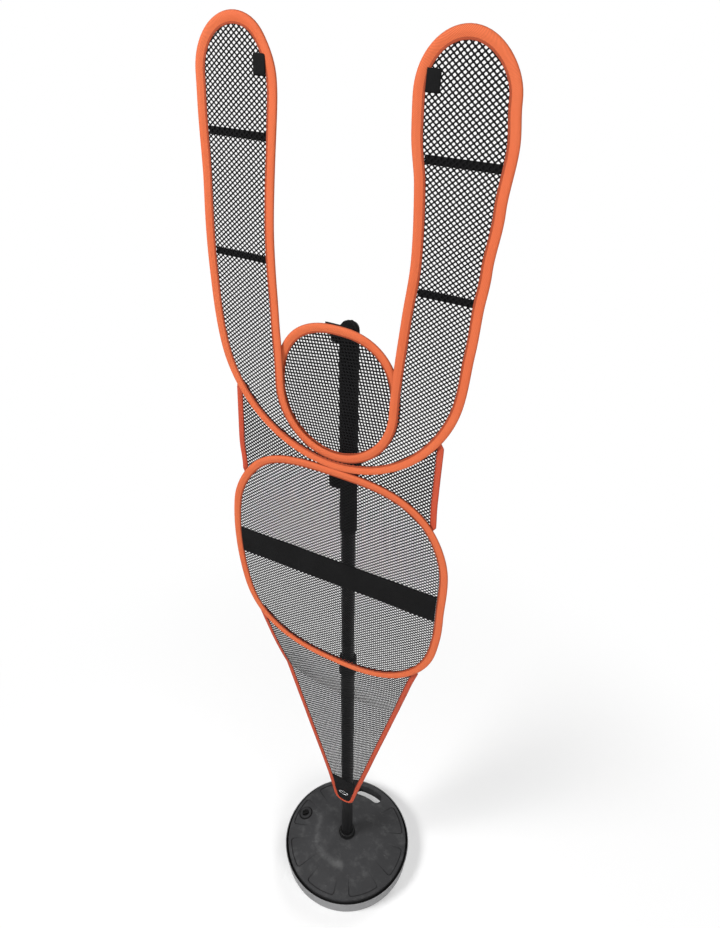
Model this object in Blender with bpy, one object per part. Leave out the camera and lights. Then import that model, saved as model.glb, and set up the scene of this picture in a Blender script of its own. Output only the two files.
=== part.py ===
"""Basketball defensive mannequin.

A mesh figure with raised arms hangs on a telescoping pole, which stands in a fillable round base.
Metres, +Z up.  The figure faces -Y.  The origin lies on the floor, on the pole's axis.
"""
import math

import bmesh
import bpy
from mathutils import Matrix, Vector
from mathutils.geometry import intersect_line_line_2d

# Clearances, and how far a cutter runs past the face that it opens
SEAT_GAP = 0.0003
RUNNING_GAP = 0.0005
CUT_PAST = 0.010

# Base tank, in two mouldings: a pan with the side wall, and a domed lid
BASE_RADIUS = 0.200
BASE_FLOOR_RADIUS = 0.195
BASE_WALL = 0.004
BASE_SEAM_HEIGHT = 0.064
BASE_SEAM_GROOVE = 0.0025
BASE_SEAM_LIP = 0.004
BASE_RIM_HEIGHT = 0.0765
BASE_CROWN_HEIGHT = 0.106
BASE_CROWN_RADIUS = 0.030
BASE_RECESS_HEIGHT = 0.003
BASE_RECESS_RADIUS = 0.165
BASE_EDGE_ROUND = 0.008
LID_OVERHANG = 0.0005
LID_EDGE_DROP = 0.0065
SOCKET_TOP_SETBACK = 0.0015
BASE_SEGMENTS = 48

# Shallow panels pressed into the lid, one in each eighth of the rim
PANEL_COUNT = 8
PANEL_INNER_RADIUS = 0.135
PANEL_OUTER_RADIUS = 0.1865
PANEL_HALF_ANGLE = 15.0
PANEL_DEPTH = 0.0022
PANEL_FADE = 0.0003
PANEL_SEGMENTS = 4

# Carrying slot at the back of the base
SLOT_INNER_RADIUS = 0.139
SLOT_OUTER_RADIUS = 0.174
SLOT_HALF_ANGLE = 17.0
SLOT_WALL = 0.0035
SLOT_WALL_TRIM = 0.001

# Hand hold: below the slot, an alcove is cut out of the pan, so that the base's back edge is a grip
ALCOVE_INNER_RADIUS = 0.132
ALCOVE_HALF_ANGLE = 22.0
ALCOVE_TOP = 0.056
ALCOVE_SEGMENTS = 8

# Fill neck and screw cap
NECK_RADIUS_FROM_AXIS = 0.156
NECK_BORE_RADIUS = 0.0145
NECK_WALL = 0.003
NECK_DEPTH = 0.012
NECK_SEGMENTS = 32
CAP_FLANGE_RADIUS = 0.0185
CAP_FLANGE_HEIGHT = 0.0040
CAP_FLANGE_EDGE = 0.001
CAP_SEAT_DEPTH = 0.0020
CAP_SEAT_MARGIN = 0.003
CAP_PLUG_LENGTH = 0.010
CAP_RECESS_RADIUS = 0.0115
CAP_RECESS_DEPTH = 0.0055
CAP_BAR_WIDTH = 0.005
CAP_BAR_DROP = 0.0008
CAP_TURNED = 40.0

# Pole
LOWER_TUBE_RADIUS = 0.01725
UPPER_TUBE_RADIUS = 0.01525
TUBE_WALL = 0.0015
LOWER_TUBE_TOP = 0.985
TUBE_OVERLAP = 0.460
POLE_TOP = 1.8892
SOCKET_WALL = 0.0044
FERRULE_RADIUS = 0.026
FERRULE_HEIGHT = 0.017
FERRULE_TOP_FLAT = 0.003
FERRULE_ROUND = 0.009
END_CAP_STEP = 0.002
END_CAP_PLUG = 0.022
END_CAP_TAPER = (0.002, 0.004)
COLLAR_RADIUS = 0.0213
COLLAR_HEIGHT = 0.055
COLLAR_LIP = 0.015
COLLAR_TOP_FLAT = 0.003
COLLAR_TOP_DROP = 0.006
COLLAR_FOOT_EDGE = (0.0015, 0.002)
COLLAR_RIBS = 12
COLLAR_RIB_LENGTH = 0.031
COLLAR_RIB_LOWERED = 0.002
COLLAR_RIB_HEIGHT = 0.0011
COLLAR_RIB_WIDTH = 0.0035
TUBE_SEGMENTS = 32

# The figure's front surface: how far it stands in front of the pole's axis, its lean and the arms' bend
FRONT_AT_SHOULDER = 0.0591
FRONT_LEAN = 0.0351
ARM_BEND = 0.0505
ARM_BEND_START = 1.70

# Sewn edges: folded tape over a spring wire on the front pieces, thin piping on the back ones
TAPE_WIDTH = 0.0175
TAPE_THICKNESS = 0.006
PIPING_WIDTH = 0.010
PIPING_THICKNESS = 0.004

# Mesh cloth, drawn with fewer and wider openings than the woven one
NET_THICKNESS = 0.0015
NET_PITCH = 0.058
YOKE_NET_PITCH = 0.036
NET_STRAND = 0.0068
NET_MARGIN = 0.0035
NET_FOLD_STEP = 0.12

# Arms: one closed wire that rises from below the head into both hands
SHOULDER_HEIGHT = 1.6265
SHOULDER_KNOT = (0.150, 1.6835)
SHOULDER_HEADING = 42.0
ARMPIT_KNOT = (0.2225, 1.800)
ARMPIT_HEADING = 75.0
HAND_CENTRE = (0.1772, 2.245)
HAND_HALF_WIDTH = 0.0633
HAND_HALF_HEIGHT = 0.0718
ELBOW_KNOT = (0.1275, 2.030)
ARM_NET_START = 0.045

# Head
HEAD_HEIGHT = 1.768
HEAD_HALF_WIDTH = 0.114
HEAD_HALF_HEIGHT = 0.123
HEAD_CROWN_POWER = 2.4

# Torso
TORSO_HALF_WIDTH = 0.2362
TORSO_CENTRE = 1.345
TORSO_DROP = 0.2632
TORSO_TOP_POWER = 3.1
TORSO_BOTTOM_POWER = 2.6
BAND_CENTRE = 1.357
BAND_HEIGHT = 0.068

# Back pieces: a yoke between the arms and the torso, and a tail from the torso to a point on the pole
YOKE_HALF_WIDTH = 0.2015
YOKE_CORNER_RADIUS = 0.0068
TAIL_HALF_WIDTH = 0.197
TAIL_WIDTH_HEIGHT = 1.163
TAIL_TIP_HEIGHT = 0.343
TAIL_TIP_RADIUS = 0.0204
TAIL_POINT_TOP = 0.46
TAIL_BEND = 0.95
TAIL_BEND_FRONT = 0.050
JOIN_RADIUS = 0.006
JOIN_REACH = 0.021

# Webbing
STRAP_THICKNESS = 0.0015
ARM_STRAP_HEIGHTS = (2.1685, 1.985)
ARM_STRAP_WIDTH = 0.012
HAND_TAB_HEIGHT = 2.262
HAND_TAB_SIZE = (0.020, 0.028)
SLEEVE_WALL = 0.0018
SLEEVE_BOTTOM = 1.42
HOOD_ROUND = 0.016
HOOD_TURNS = (26, 50, 72, 90)
ANCHOR_BOTTOM = 1.572
ANCHOR_TOP = 1.598
ANCHOR_HALF_WIDTH = 0.026
ANCHOR_THICKNESS = 0.002
ANCHOR_BEND = 0.003
CROWN_STRAP_HALF_WIDTH = 0.025
CROWN_STRAP_BOTTOM = 1.857
CROWN_STRAP_BEND = 1.865
CROWN_STRAP_TOP = 1.900
CROWN_STRAP_THICKNESS = 0.002
CROWN_STRAP_STEPS = 4
LOOP_CENTRE = 0.390
LOOP_HEIGHT = 0.022
LOOP_WALL = 0.0025
RING_HALF_WIDTH = 0.014
RING_HALF_HEIGHT = 0.0065
RING_WIRE = 0.0014
RING_SEGMENTS = 20
RING_WIRE_SEGMENTS = 8


# Materials

def material(name, colour, roughness, metallic=0.0):
    """One Principled material for a sub-part."""
    made = bpy.data.materials.new(name)
    made.use_nodes = True
    shader = made.node_tree.nodes["Principled BSDF"]
    shader.inputs["Base Color"].default_value = (*colour, 1.0)
    shader.inputs["Roughness"].default_value = roughness
    shader.inputs["Metallic"].default_value = metallic
    made.diffuse_color = (*colour, 1.0)
    return made


ORANGE = (0.90, 0.13, 0.03)
DARK_ORANGE = (0.62, 0.08, 0.03)
BLACK = (0.012, 0.012, 0.013)
CHARCOAL = (0.065, 0.065, 0.068)


# Mesh helpers

def finish_object(name, mesh_data, made_of):
    """Turn a bmesh into a named object with outward faces, round faces smooth and edges sharp."""
    bmesh.ops.recalc_face_normals(mesh_data, faces=mesh_data.faces[:])
    mesh = bpy.data.meshes.new(name)
    mesh_data.to_mesh(mesh)
    mesh_data.free()
    mesh.shade_smooth()
    mesh.set_sharp_from_angle(angle=math.radians(35.0))
    obj = bpy.data.objects.new(name, mesh)
    bpy.context.scene.collection.objects.link(obj)
    if made_of is not None:
        mesh.materials.append(made_of)
    return obj


def add_boolean(obj, other, operation):
    """Join another shape to the object or cut it away, and keep the other one as a hidden guide."""
    step = obj.modifiers.new(operation.title(), "BOOLEAN")
    step.operation = operation
    step.object = other
    other.hide_render = True
    other.display_type = "WIRE"


def bridge(mesh_data, rings, closed_end):
    """Join rings of vertices with faces; closed_end also joins the last ring to the first."""
    count = len(rings)
    last = count if closed_end else count - 1
    for index in range(last):
        ring, following = rings[index], rings[(index + 1) % count]
        if len(ring) == 1 and len(following) == 1:
            continue
        size = max(len(ring), len(following))
        for turn in range(size):
            corners = [
                ring[turn % len(ring)],
                ring[(turn + 1) % len(ring)],
                following[(turn + 1) % len(following)],
                following[turn % len(following)],
            ]
            unique = [corner for place, corner in enumerate(corners) if corner not in corners[:place]]
            mesh_data.faces.new(unique)


def lathe(profile, segments, ring_closed=False, start=0.0, sweep=360.0):
    """Turn a profile of (radius, height) points round Z.

    A full turn makes rings; a part turn makes a wedge with flat ends.
    """
    mesh_data = bmesh.new()
    full = sweep >= 360.0
    steps = segments if full else segments + 1
    rings = []
    for radius, height in profile:
        ring = []
        for step in range(steps if radius > 0.0 else 1):
            angle = math.radians(start + sweep * step / segments)
            ring.append(mesh_data.verts.new((radius * math.cos(angle), radius * math.sin(angle), height)))
        rings.append(ring)
    if full:
        bridge(mesh_data, rings, ring_closed)
        return mesh_data
    count = len(rings)
    for index in range(count):
        ring, following = rings[index], rings[(index + 1) % count]
        for step in range(segments):
            mesh_data.faces.new((ring[step], ring[step + 1], following[step + 1], following[step]))
    mesh_data.faces.new([ring[0] for ring in rings])
    mesh_data.faces.new([ring[-1] for ring in rings])
    return mesh_data


def prism(outline, low, high):
    """Raise a plan outline of (x, y) points from one height to another."""
    mesh_data = bmesh.new()
    lows = [mesh_data.verts.new((x, y, low)) for x, y in outline]
    highs = [mesh_data.verts.new((x, y, high)) for x, y in outline]
    bridge(mesh_data, [lows, highs], False)
    mesh_data.faces.new(lows)
    mesh_data.faces.new(highs)
    return mesh_data


def inside(point, outline):
    """Whether a point lies within a closed outline."""
    x, z = point
    crossed = False
    for (x0, z0), (x1, z1) in zip(outline, outline[1:] + outline[:1]):
        if (z0 > z) != (z1 > z) and x < x0 + (z - z0) * (x1 - x0) / (z1 - z0):
            crossed = not crossed
    return crossed


def distance_to(point, outline):
    """Least distance from a point to a closed outline."""
    here = Vector(point)
    least = math.inf
    for first, second in zip(outline, outline[1:] + outline[:1]):
        start, run = Vector(first), Vector(second) - Vector(first)
        share = max(0.0, min(1.0, (here - start).dot(run) / max(run.length_squared, 1e-12)))
        least = min(least, (here - start - share * run).length)
    return least


def offset(path, distance, closed=True):
    """Move each point of a path sideways, to the left of its direction."""
    count = len(path)
    moved = []
    for index in range(count):
        before = path[index - 1] if closed or index > 0 else path[index]
        after = path[(index + 1) % count] if closed or index < count - 1 else path[index]
        heading = (Vector(after) - Vector(before)).normalized()
        moved.append((path[index][0] - heading.y * distance, path[index][1] + heading.x * distance))
    return moved


def clip(outline, axis, limit, keep_above):
    """Cut an outline with a line across one of its axes."""
    kept = []
    for first, second in zip(outline, outline[1:] + outline[:1]):
        first_in = (first[axis] >= limit) == keep_above
        second_in = (second[axis] >= limit) == keep_above
        if first_in:
            kept.append(first)
        if first_in != second_in:
            share = (limit - first[axis]) / (second[axis] - first[axis])
            kept.append(tuple(a + share * (b - a) for a, b in zip(first, second)))
    return kept


def mirrored(points):
    """The same points on the other side of the figure, in reverse order."""
    return [(-x, z) for x, z in reversed(points)]


def crossings(path, height):
    """Where a closed path crosses a height, from left to right."""
    found = []
    for (x0, z0), (x1, z1) in zip(path, path[1:] + path[:1]):
        if (z0 > height) != (z1 > height):
            found.append(x0 + (height - z0) * (x1 - x0) / (z1 - z0))
    return sorted(found)


# The figure's surfaces

def front_surface(height):
    """Y of the middle of the arms, head and torso."""
    rise = max(0.0, height - ARM_BEND_START)
    return -FRONT_AT_SHOULDER + FRONT_LEAN * (height - SHOULDER_HEIGHT) + ARM_BEND * rise * rise


def head_surface(height):
    """The head's wire lies just behind the arms' wire."""
    return front_surface(height) + TAPE_THICKNESS + SEAT_GAP


def tip_surface():
    """The tail's point lies on the webbing loop round the pole."""
    return -(loop_radius() + SEAT_GAP + NET_THICKNESS / 2)


def yoke_surface(height):
    """Y of the yoke, which lies behind the tapes that it is sewn to."""
    return front_surface(height) + TAPE_THICKNESS / 2 + SEAT_GAP + PIPING_THICKNESS / 2


def tail_seam():
    """Height below which the tail hangs free of the torso's tape."""
    return TORSO_CENTRE - TORSO_DROP - TAPE_WIDTH


def tail_knots():
    """Heights and depths between which the tail is flat."""
    seam = tail_seam()
    return [(TAIL_POINT_TOP, tip_surface()), (TAIL_BEND, -TAIL_BEND_FRONT), (seam, yoke_surface(seam))]


def tail_surface(height):
    """Y of the tail: on the pole at its point, behind the torso's tape at its top."""
    knots = tail_knots()
    if height <= knots[0][0]:
        return knots[0][1]
    for (low, near), (high, far) in zip(knots, knots[1:]):
        if height <= high:
            return near + (height - low) / (high - low) * (far - near)
    return yoke_surface(height)


def loop_radius():
    """Outer radius of the webbing loop at the tail's point."""
    return LOWER_TUBE_RADIUS + RUNNING_GAP + LOOP_WALL


def sleeve_radius():
    """Outer radius of the pole sleeve."""
    return UPPER_TUBE_RADIUS + RUNNING_GAP + SLEEVE_WALL


# Outlines in the figure's plane, as (x, z) points that run anticlockwise

def heading(degrees):
    """A unit step in the figure's plane, at an angle from +X."""
    return Vector((math.cos(math.radians(degrees)), math.sin(math.radians(degrees))))


def curve(first, first_heading, second, second_heading, steps):
    """Points on a smooth curve between two knots, without its last point."""
    start, end = Vector(first), Vector(second)
    reach = (end - start).length / 3
    leave, arrive = start + reach * heading(first_heading), end - reach * heading(second_heading)
    points = []
    for step in range(steps):
        along = step / steps
        left = 1 - along
        place = left ** 3 * start + 3 * along * left ** 2 * leave
        place += 3 * along ** 2 * left * arrive + along ** 3 * end
        points.append(tuple(place))
    return points


def oval(centre, half_width, half_height, start, end, steps, power=2.0):
    """Points on an oval from one angle to another, squarer as the power grows."""
    points = []
    for step in range(steps):
        angle = math.radians(start + (end - start) * step / steps)
        across, along = math.cos(angle), math.sin(angle)
        points.append((
            centre[0] + half_width * math.copysign(abs(across) ** (2 / power), across),
            centre[1] + half_height * math.copysign(abs(along) ** (2 / power), along),
        ))
    return points


def shoulder_curve():
    """The arms' wire below the head, from its middle to the armpit."""
    return (
        curve((0.0, SHOULDER_HEIGHT), 0.0, SHOULDER_KNOT, SHOULDER_HEADING, 5)
        + curve(SHOULDER_KNOT, SHOULDER_HEADING, ARMPIT_KNOT, ARMPIT_HEADING, 5)
    )


def half_arm_path():
    """Half of the arms' wire, from its lowest point round one hand to the point under the chin."""
    hand_outer = (HAND_CENTRE[0] + HAND_HALF_WIDTH, HAND_CENTRE[1])
    hand_inner = (HAND_CENTRE[0] - HAND_HALF_WIDTH, HAND_CENTRE[1])
    temple = (HEAD_HALF_WIDTH, HEAD_HEIGHT)
    return (
        shoulder_curve()
        + curve(ARMPIT_KNOT, ARMPIT_HEADING, hand_outer, 90.0, 8)
        + oval(HAND_CENTRE, HAND_HALF_WIDTH, HAND_HALF_HEIGHT, 0.0, 180.0, 12)
        + curve(hand_inner, 270.0, ELBOW_KNOT, 270.0, 5)
        + curve(ELBOW_KNOT, 270.0, temple, 270.0, 5)
        + oval((0.0, HEAD_HEIGHT), HEAD_HALF_WIDTH, HEAD_HALF_HEIGHT, 0.0, -90.0, 8)
    )


def arm_path():
    """The arms' whole wire."""
    half = half_arm_path()
    chin = (0.0, HEAD_HEIGHT - HEAD_HALF_HEIGHT)
    return half + [chin] + mirrored(half)[:-1]


def head_path():
    """The head's wire, whose lower half follows the arms' wire."""
    centre = (0.0, HEAD_HEIGHT)
    crown = oval(centre, HEAD_HALF_WIDTH, HEAD_HALF_HEIGHT, 0.0, 180.0, 20, HEAD_CROWN_POWER)
    chin = oval(centre, HEAD_HALF_WIDTH, HEAD_HALF_HEIGHT, 180.0, 360.0, 16)
    return crown + chin


def torso_path():
    """The torso's wire, whose flat top meets the arms' tape."""
    rise = SHOULDER_HEIGHT - TAPE_WIDTH - SEAT_GAP - TORSO_CENTRE
    centre = (0.0, TORSO_CENTRE)
    top = oval(centre, TORSO_HALF_WIDTH, rise, 0.0, 180.0, 28, TORSO_TOP_POWER)
    bottom = oval(centre, TORSO_HALF_WIDTH, TORSO_DROP, 180.0, 360.0, 26, TORSO_BOTTOM_POWER)
    return top + bottom


def rounded_corner(before, corner, after, radius, steps):
    """Points on the arc that rounds off one corner."""
    here = Vector(corner)
    back, ahead = (Vector(before) - here).normalized(), (Vector(after) - here).normalized()
    half = back.angle(ahead) / 2
    centre = here + (back + ahead).normalized() * radius / math.sin(half)
    first = here + back * radius / math.tan(half) - centre
    last = here + ahead * radius / math.tan(half) - centre
    turn = math.atan2(first.x * last.y - first.y * last.x, first.dot(last))
    points = []
    for step in range(steps + 1):
        spoke = Matrix.Rotation(turn * step / steps, 2) @ first
        points.append(tuple(centre + spoke))
    return points


def rounded_join(first, second):
    """Follow one open path to where it crosses another, turn through a round corner, and follow the other."""
    for step, (start, end) in enumerate(zip(first, first[1:])):
        for other, (low, high) in enumerate(zip(second, second[1:])):
            corner = intersect_line_line_2d(start, end, low, high)
            if corner:
                lead = clear_of(corner, first[:step + 1])
                follow = clear_of(corner, second[other + 1:])
                return lead + rounded_corner(lead[-1], corner, follow[0], JOIN_RADIUS, 6) + follow
    raise ValueError("the two paths don't cross")


def clear_of(corner, path):
    """The points of a path that leave room for a corner's curve."""
    return [place for place in path if (Vector(place) - corner).length > JOIN_REACH]


def torso_quarter(side):
    """The right-hand half of the torso's wire above (1) or below (-1) its widest place."""
    return [place for place in torso_path() if place[0] > 1e-6 and side * (place[1] - TORSO_CENTRE) > 1e-6]


def yoke_path():
    """The yoke's edge: over the torso's tape, up the sides and down under the arms' wire."""
    low = (YOKE_HALF_WIDTH, TORSO_CENTRE)
    top = (YOKE_HALF_WIDTH, height_on(shoulder_curve(), YOKE_HALF_WIDTH))
    clear = top[0] - 2.6 * YOKE_CORNER_RADIUS
    seam = [place for place in shoulder_curve() if 0.0 < place[0] < clear]
    side = [low] + [(top[0], low[1] + (top[1] - low[1]) * share) for share in (0.6, 0.75, 0.88)]
    side += rounded_corner(low, top, seam[-1], YOKE_CORNER_RADIUS, 6) + list(reversed(seam))
    half = rounded_join(list(reversed(torso_quarter(1))), side)
    middle = (0.0, SHOULDER_HEIGHT - TAPE_WIDTH - SEAT_GAP)
    return [middle] + half + [(0.0, SHOULDER_HEIGHT)] + mirrored(half)


def tail_path():
    """The tail's edge: up from the point along its sides, and over the lower half of the torso's tape."""
    corner = (TAIL_HALF_WIDTH, TAIL_WIDTH_HEIGHT)
    point = (0.0, sharp_tip(side_lean()))
    tip = rounded_corner(mirror(corner), point, corner, TAIL_TIP_RADIUS, 12)
    side = [place for place in tip if place[0] > 1e-6]
    for height in [height for height, _ in tail_knots()] + [TORSO_CENTRE]:
        side.append((corner[0] * (height - point[1]) / (corner[1] - point[1]), height))
    half = rounded_join(side, list(reversed(torso_quarter(-1))))
    return [(0.0, TAIL_TIP_HEIGHT)] + half + [(0.0, TORSO_CENTRE - TORSO_DROP)] + mirrored(half)


def mirror(place):
    """One point on the other side of the figure."""
    return (-place[0], place[1])


def height_on(path, across):
    """Height of an open path where it passes a distance from the middle."""
    for (x0, z0), (x1, z1) in zip(path, path[1:]):
        if x0 <= across < x1:
            return z0 + (across - x0) * (z1 - z0) / (x1 - x0)
    return path[-1][1]


def sharp_tip(lean):
    """Height at which the tail's edges would meet if their point weren't rounded."""
    return TAIL_TIP_HEIGHT - TAIL_TIP_RADIUS * (1 / math.sin(lean) - 1)


def side_lean():
    """Angle of the tail's edges from the upright, found by closing in on it."""
    lean = math.atan(TAIL_HALF_WIDTH / (TAIL_WIDTH_HEIGHT - TAIL_TIP_HEIGHT))
    for _ in range(30):
        lean = math.atan(TAIL_HALF_WIDTH / (TAIL_WIDTH_HEIGHT - sharp_tip(lean)))
    return lean


# Cloth, tape and webbing

def taped_edge(name, path, surface, width, thickness, made_of):
    """A closed band of folded tape along a wire, with a flat lens for its section."""
    section = ((0.5, 0.0), (0.25, 0.5), (-0.25, 0.5), (-0.5, 0.0), (-0.25, -0.5), (0.25, -0.5))
    mesh_data = bmesh.new()
    lanes = []
    for across, out in section:
        lane = offset(path, across * width)
        lanes.append([mesh_data.verts.new((x, surface(z) + out * thickness, z)) for x, z in lane])
    bridge(mesh_data, lanes, True)
    return finish_object(name, mesh_data, made_of)


def fold_levels(low, high):
    """Even heights at which a sheet folds, with one at each place where the tail's lean changes."""
    kinks = [place for place, _ in tail_knots() if low < place < high]
    levels = [low] + kinks + [high]
    folds = []
    for first, second in zip(levels, levels[1:]):
        steps = max(1, math.ceil((second - first) / NET_FOLD_STEP))
        folds += [first + (second - first) * step / steps for step in range(steps)]
    return folds + [high]


def cloth_sheet(name, outline, surface, shift, thickness, made_of):
    """A thin sheet with a flat outline, folded across so that it follows the figure's surface."""
    mesh_data = bmesh.new()
    mesh_data.faces.new([mesh_data.verts.new((x, 0.0, z)) for x, z in outline])
    levels = fold_levels(min(z for _, z in outline), max(z for _, z in outline))
    for height in levels[1:-1]:
        everything = mesh_data.verts[:] + mesh_data.edges[:] + mesh_data.faces[:]
        bmesh.ops.bisect_plane(mesh_data, geom=everything, plane_co=(0, 0, height), plane_no=(0, 0, 1))
    for corner in mesh_data.verts:
        corner.co.y = along_levels(corner.co.z, levels, surface) + shift - thickness / 2
    grown = bmesh.ops.extrude_face_region(mesh_data, geom=mesh_data.faces[:])
    for item in grown["geom"]:
        if isinstance(item, bmesh.types.BMVert):
            item.co.y += thickness
    return finish_object(name, mesh_data, made_of)


def along_levels(height, levels, surface):
    """The surface's depth, straight between neighbouring levels so that each strip of cloth is flat."""
    for low, high in zip(levels, levels[1:]):
        if height <= high + 1e-7:
            share = (height - low) / (high - low)
            return surface(low) + share * (surface(high) - surface(low))
    return surface(levels[-1])


def net_cells(outline, pitch):
    """Centres of the staggered diamonds that cover an outline."""
    columns, rows = [x for x, _ in outline], [z for _, z in outline]
    first_column, last_column = math.floor(min(columns) / pitch) - 1, math.ceil(max(columns) / pitch)
    first_row, last_row = math.floor(2 * min(rows) / pitch), math.ceil(2 * max(rows) / pitch)
    for row in range(first_row, last_row + 1):
        for column in range(first_column, last_column + 1):
            yield (column + (row % 2) / 2) * pitch, row * pitch / 2


def open_mesh(sheet, outline, surface, pitch):
    """Cut the sheet into a net: staggered diamonds wherever a whole one fits."""
    reach = (pitch - NET_STRAND * math.sqrt(2.0)) / 2
    mesh_data = bmesh.new()
    for x, z in net_cells(outline, pitch):
        corners = [(x + reach, z), (x, z + reach), (x - reach, z), (x, z - reach)]
        if all(inside(place, outline) and distance_to(place, outline) > NET_MARGIN for place in corners):
            add_diamond(mesh_data, corners, surface(z))
    cutter = finish_object(sheet.name + "_openings", mesh_data, None)
    add_boolean(sheet, cutter, "DIFFERENCE")
    return sheet


def add_diamond(mesh_data, corners, depth):
    """One peg of the cutter that opens the net."""
    reach = NET_PITCH / 4
    near = [mesh_data.verts.new((x, depth - reach, z)) for x, z in corners]
    far = [mesh_data.verts.new((x, depth + reach, z)) for x, z in corners]
    bridge(mesh_data, [near, far], False)
    mesh_data.faces.new(near)
    mesh_data.faces.new(far)


def net(name, outline, surface, made_of, pitch=NET_PITCH):
    """A panel of mesh cloth."""
    sheet = cloth_sheet(name, outline, surface, 0.0, NET_THICKNESS, made_of)
    return open_mesh(sheet, outline, surface, pitch)


def patch(name, outline, surface, side, made_of):
    """Webbing sewn on a net: side is -1 for its front and 1 for its back."""
    lift = side * (NET_THICKNESS / 2 + SEAT_GAP + STRAP_THICKNESS / 2)
    return cloth_sheet(name, outline, surface, lift, STRAP_THICKNESS, made_of)


def rectangle(left, right, low, high):
    """Corners of an upright rectangle."""
    return [(left, low), (right, low), (right, high), (left, high)]


def within(path, width, closed=True):
    """The outline of the cloth held by an edge of this width."""
    return offset(path, width / 2 + SEAT_GAP, closed)


def arm_net_outline():
    """The cloth of the right-hand arm."""
    half = half_arm_path() + [(0.0, HEAD_HEIGHT - HEAD_HALF_HEIGHT)]
    return clip(within(half, TAPE_WIDTH, closed=False), 0, ARM_NET_START, True)


def clear_span(outline, low, high):
    """The widest stretch that lies within the cloth's outline all the way from one height to another."""
    spans = [crossings(outline, height) for height in (low, (low + high) / 2, high)]
    return max(span[0] for span in spans), min(span[-1] for span in spans)


def build_arms(tape, cloth, webbing):
    """The arms' wire in its tape, the two nets, the cross straps and the tabs at the hands."""
    path = arm_path()
    made = [taped_edge("arms_binding", path, front_surface, TAPE_WIDTH, TAPE_THICKNESS, tape)]
    outline = arm_net_outline()
    for side, shape in (("right", outline), ("left", mirrored(outline))):
        made.append(net("arm_net_" + side, shape, front_surface, cloth))
    pieces = []
    for level, height in zip(("upper", "lower"), ARM_STRAP_HEIGHTS):
        low, high = height - ARM_STRAP_WIDTH / 2, height + ARM_STRAP_WIDTH / 2
        start, end = clear_span(outline, low, high)
        pieces.append(("arm_strap_" + level, rectangle(start, end, low, high), 1))
    low, high = HAND_TAB_HEIGHT - HAND_TAB_SIZE[1] / 2, HAND_TAB_HEIGHT + HAND_TAB_SIZE[1] / 2
    start, _ = clear_span(outline, low, high)
    pieces.append(("hand_tab", rectangle(start, start + HAND_TAB_SIZE[0], low, high), -1))
    for name, shape, side in pieces:
        made.append(patch(name + "_right", shape, front_surface, side, webbing))
        made.append(patch(name + "_left", mirrored(shape), front_surface, side, webbing))
    return made


def build_head(tape, cloth):
    """The head's wire and net."""
    path = head_path()
    return [
        taped_edge("head_binding", path, head_surface, TAPE_WIDTH, TAPE_THICKNESS, tape),
        net("head_net", within(path, TAPE_WIDTH), head_surface, cloth),
    ]


def build_torso(tape, cloth, webbing):
    """The torso's wire and net, and the plain band across it."""
    path = torso_path()
    held = within(path, TAPE_WIDTH)
    low, high = BAND_CENTRE - BAND_HEIGHT / 2, BAND_CENTRE + BAND_HEIGHT / 2
    band = clip(clip(held, 1, low, True), 1, high, False)
    return [
        taped_edge("torso_binding", path, front_surface, TAPE_WIDTH, TAPE_THICKNESS, tape),
        net("torso_net", held, front_surface, cloth),
        patch("torso_band", band, front_surface, -1, webbing),
    ]


def build_back(tape, cloth, webbing, steel):
    """The yoke, the tail with its black point, and the loop and ring that hold the point to the pole."""
    yoke, tail = yoke_path(), tail_path()
    held = within(tail, PIPING_WIDTH)
    point = clip(held, 1, TAIL_POINT_TOP, False)
    panel = clip(held, 1, TAIL_POINT_TOP + SEAT_GAP, True)
    loop_low, loop_high = LOOP_CENTRE - LOOP_HEIGHT / 2, LOOP_CENTRE + LOOP_HEIGHT / 2
    bore = LOWER_TUBE_RADIUS + RUNNING_GAP
    wall = [(loop_radius(), loop_high), (loop_radius(), loop_low), (bore, loop_low), (bore, loop_high)]
    return [
        taped_edge("yoke_piping", yoke, yoke_surface, PIPING_WIDTH, PIPING_THICKNESS, tape),
        net("yoke_net", within(yoke, PIPING_WIDTH), yoke_surface, cloth, YOKE_NET_PITCH),
        taped_edge("tail_piping", tail, tail_surface, PIPING_WIDTH, PIPING_THICKNESS, tape),
        net("tail_net", panel, tail_surface, cloth),
        cloth_sheet("point_patch", point, tail_surface, 0.0, NET_THICKNESS, webbing),
        finish_object("pole_loop", lathe(wall, TUBE_SEGMENTS, ring_closed=True), webbing),
        build_ring(steel),
    ]


def build_ring(steel):
    """The small steel ring on the front of the point."""
    mesh_data = bmesh.new()
    depth = tip_surface() - NET_THICKNESS / 2 - SEAT_GAP - RING_WIRE
    rings = []
    for step in range(RING_SEGMENTS):
        angle = math.tau * step / RING_SEGMENTS
        ring = []
        for turn in range(RING_WIRE_SEGMENTS):
            slant = math.tau * turn / RING_WIRE_SEGMENTS
            reach = RING_WIRE * math.cos(slant)
            x = (RING_HALF_WIDTH + reach) * math.cos(angle)
            z = LOOP_CENTRE + (RING_HALF_HEIGHT + reach) * math.sin(angle)
            ring.append(mesh_data.verts.new((x, depth + RING_WIRE * math.sin(slant), z)))
        rings.append(ring)
    bridge(mesh_data, rings, True)
    return finish_object("point_ring", mesh_data, steel)


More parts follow.
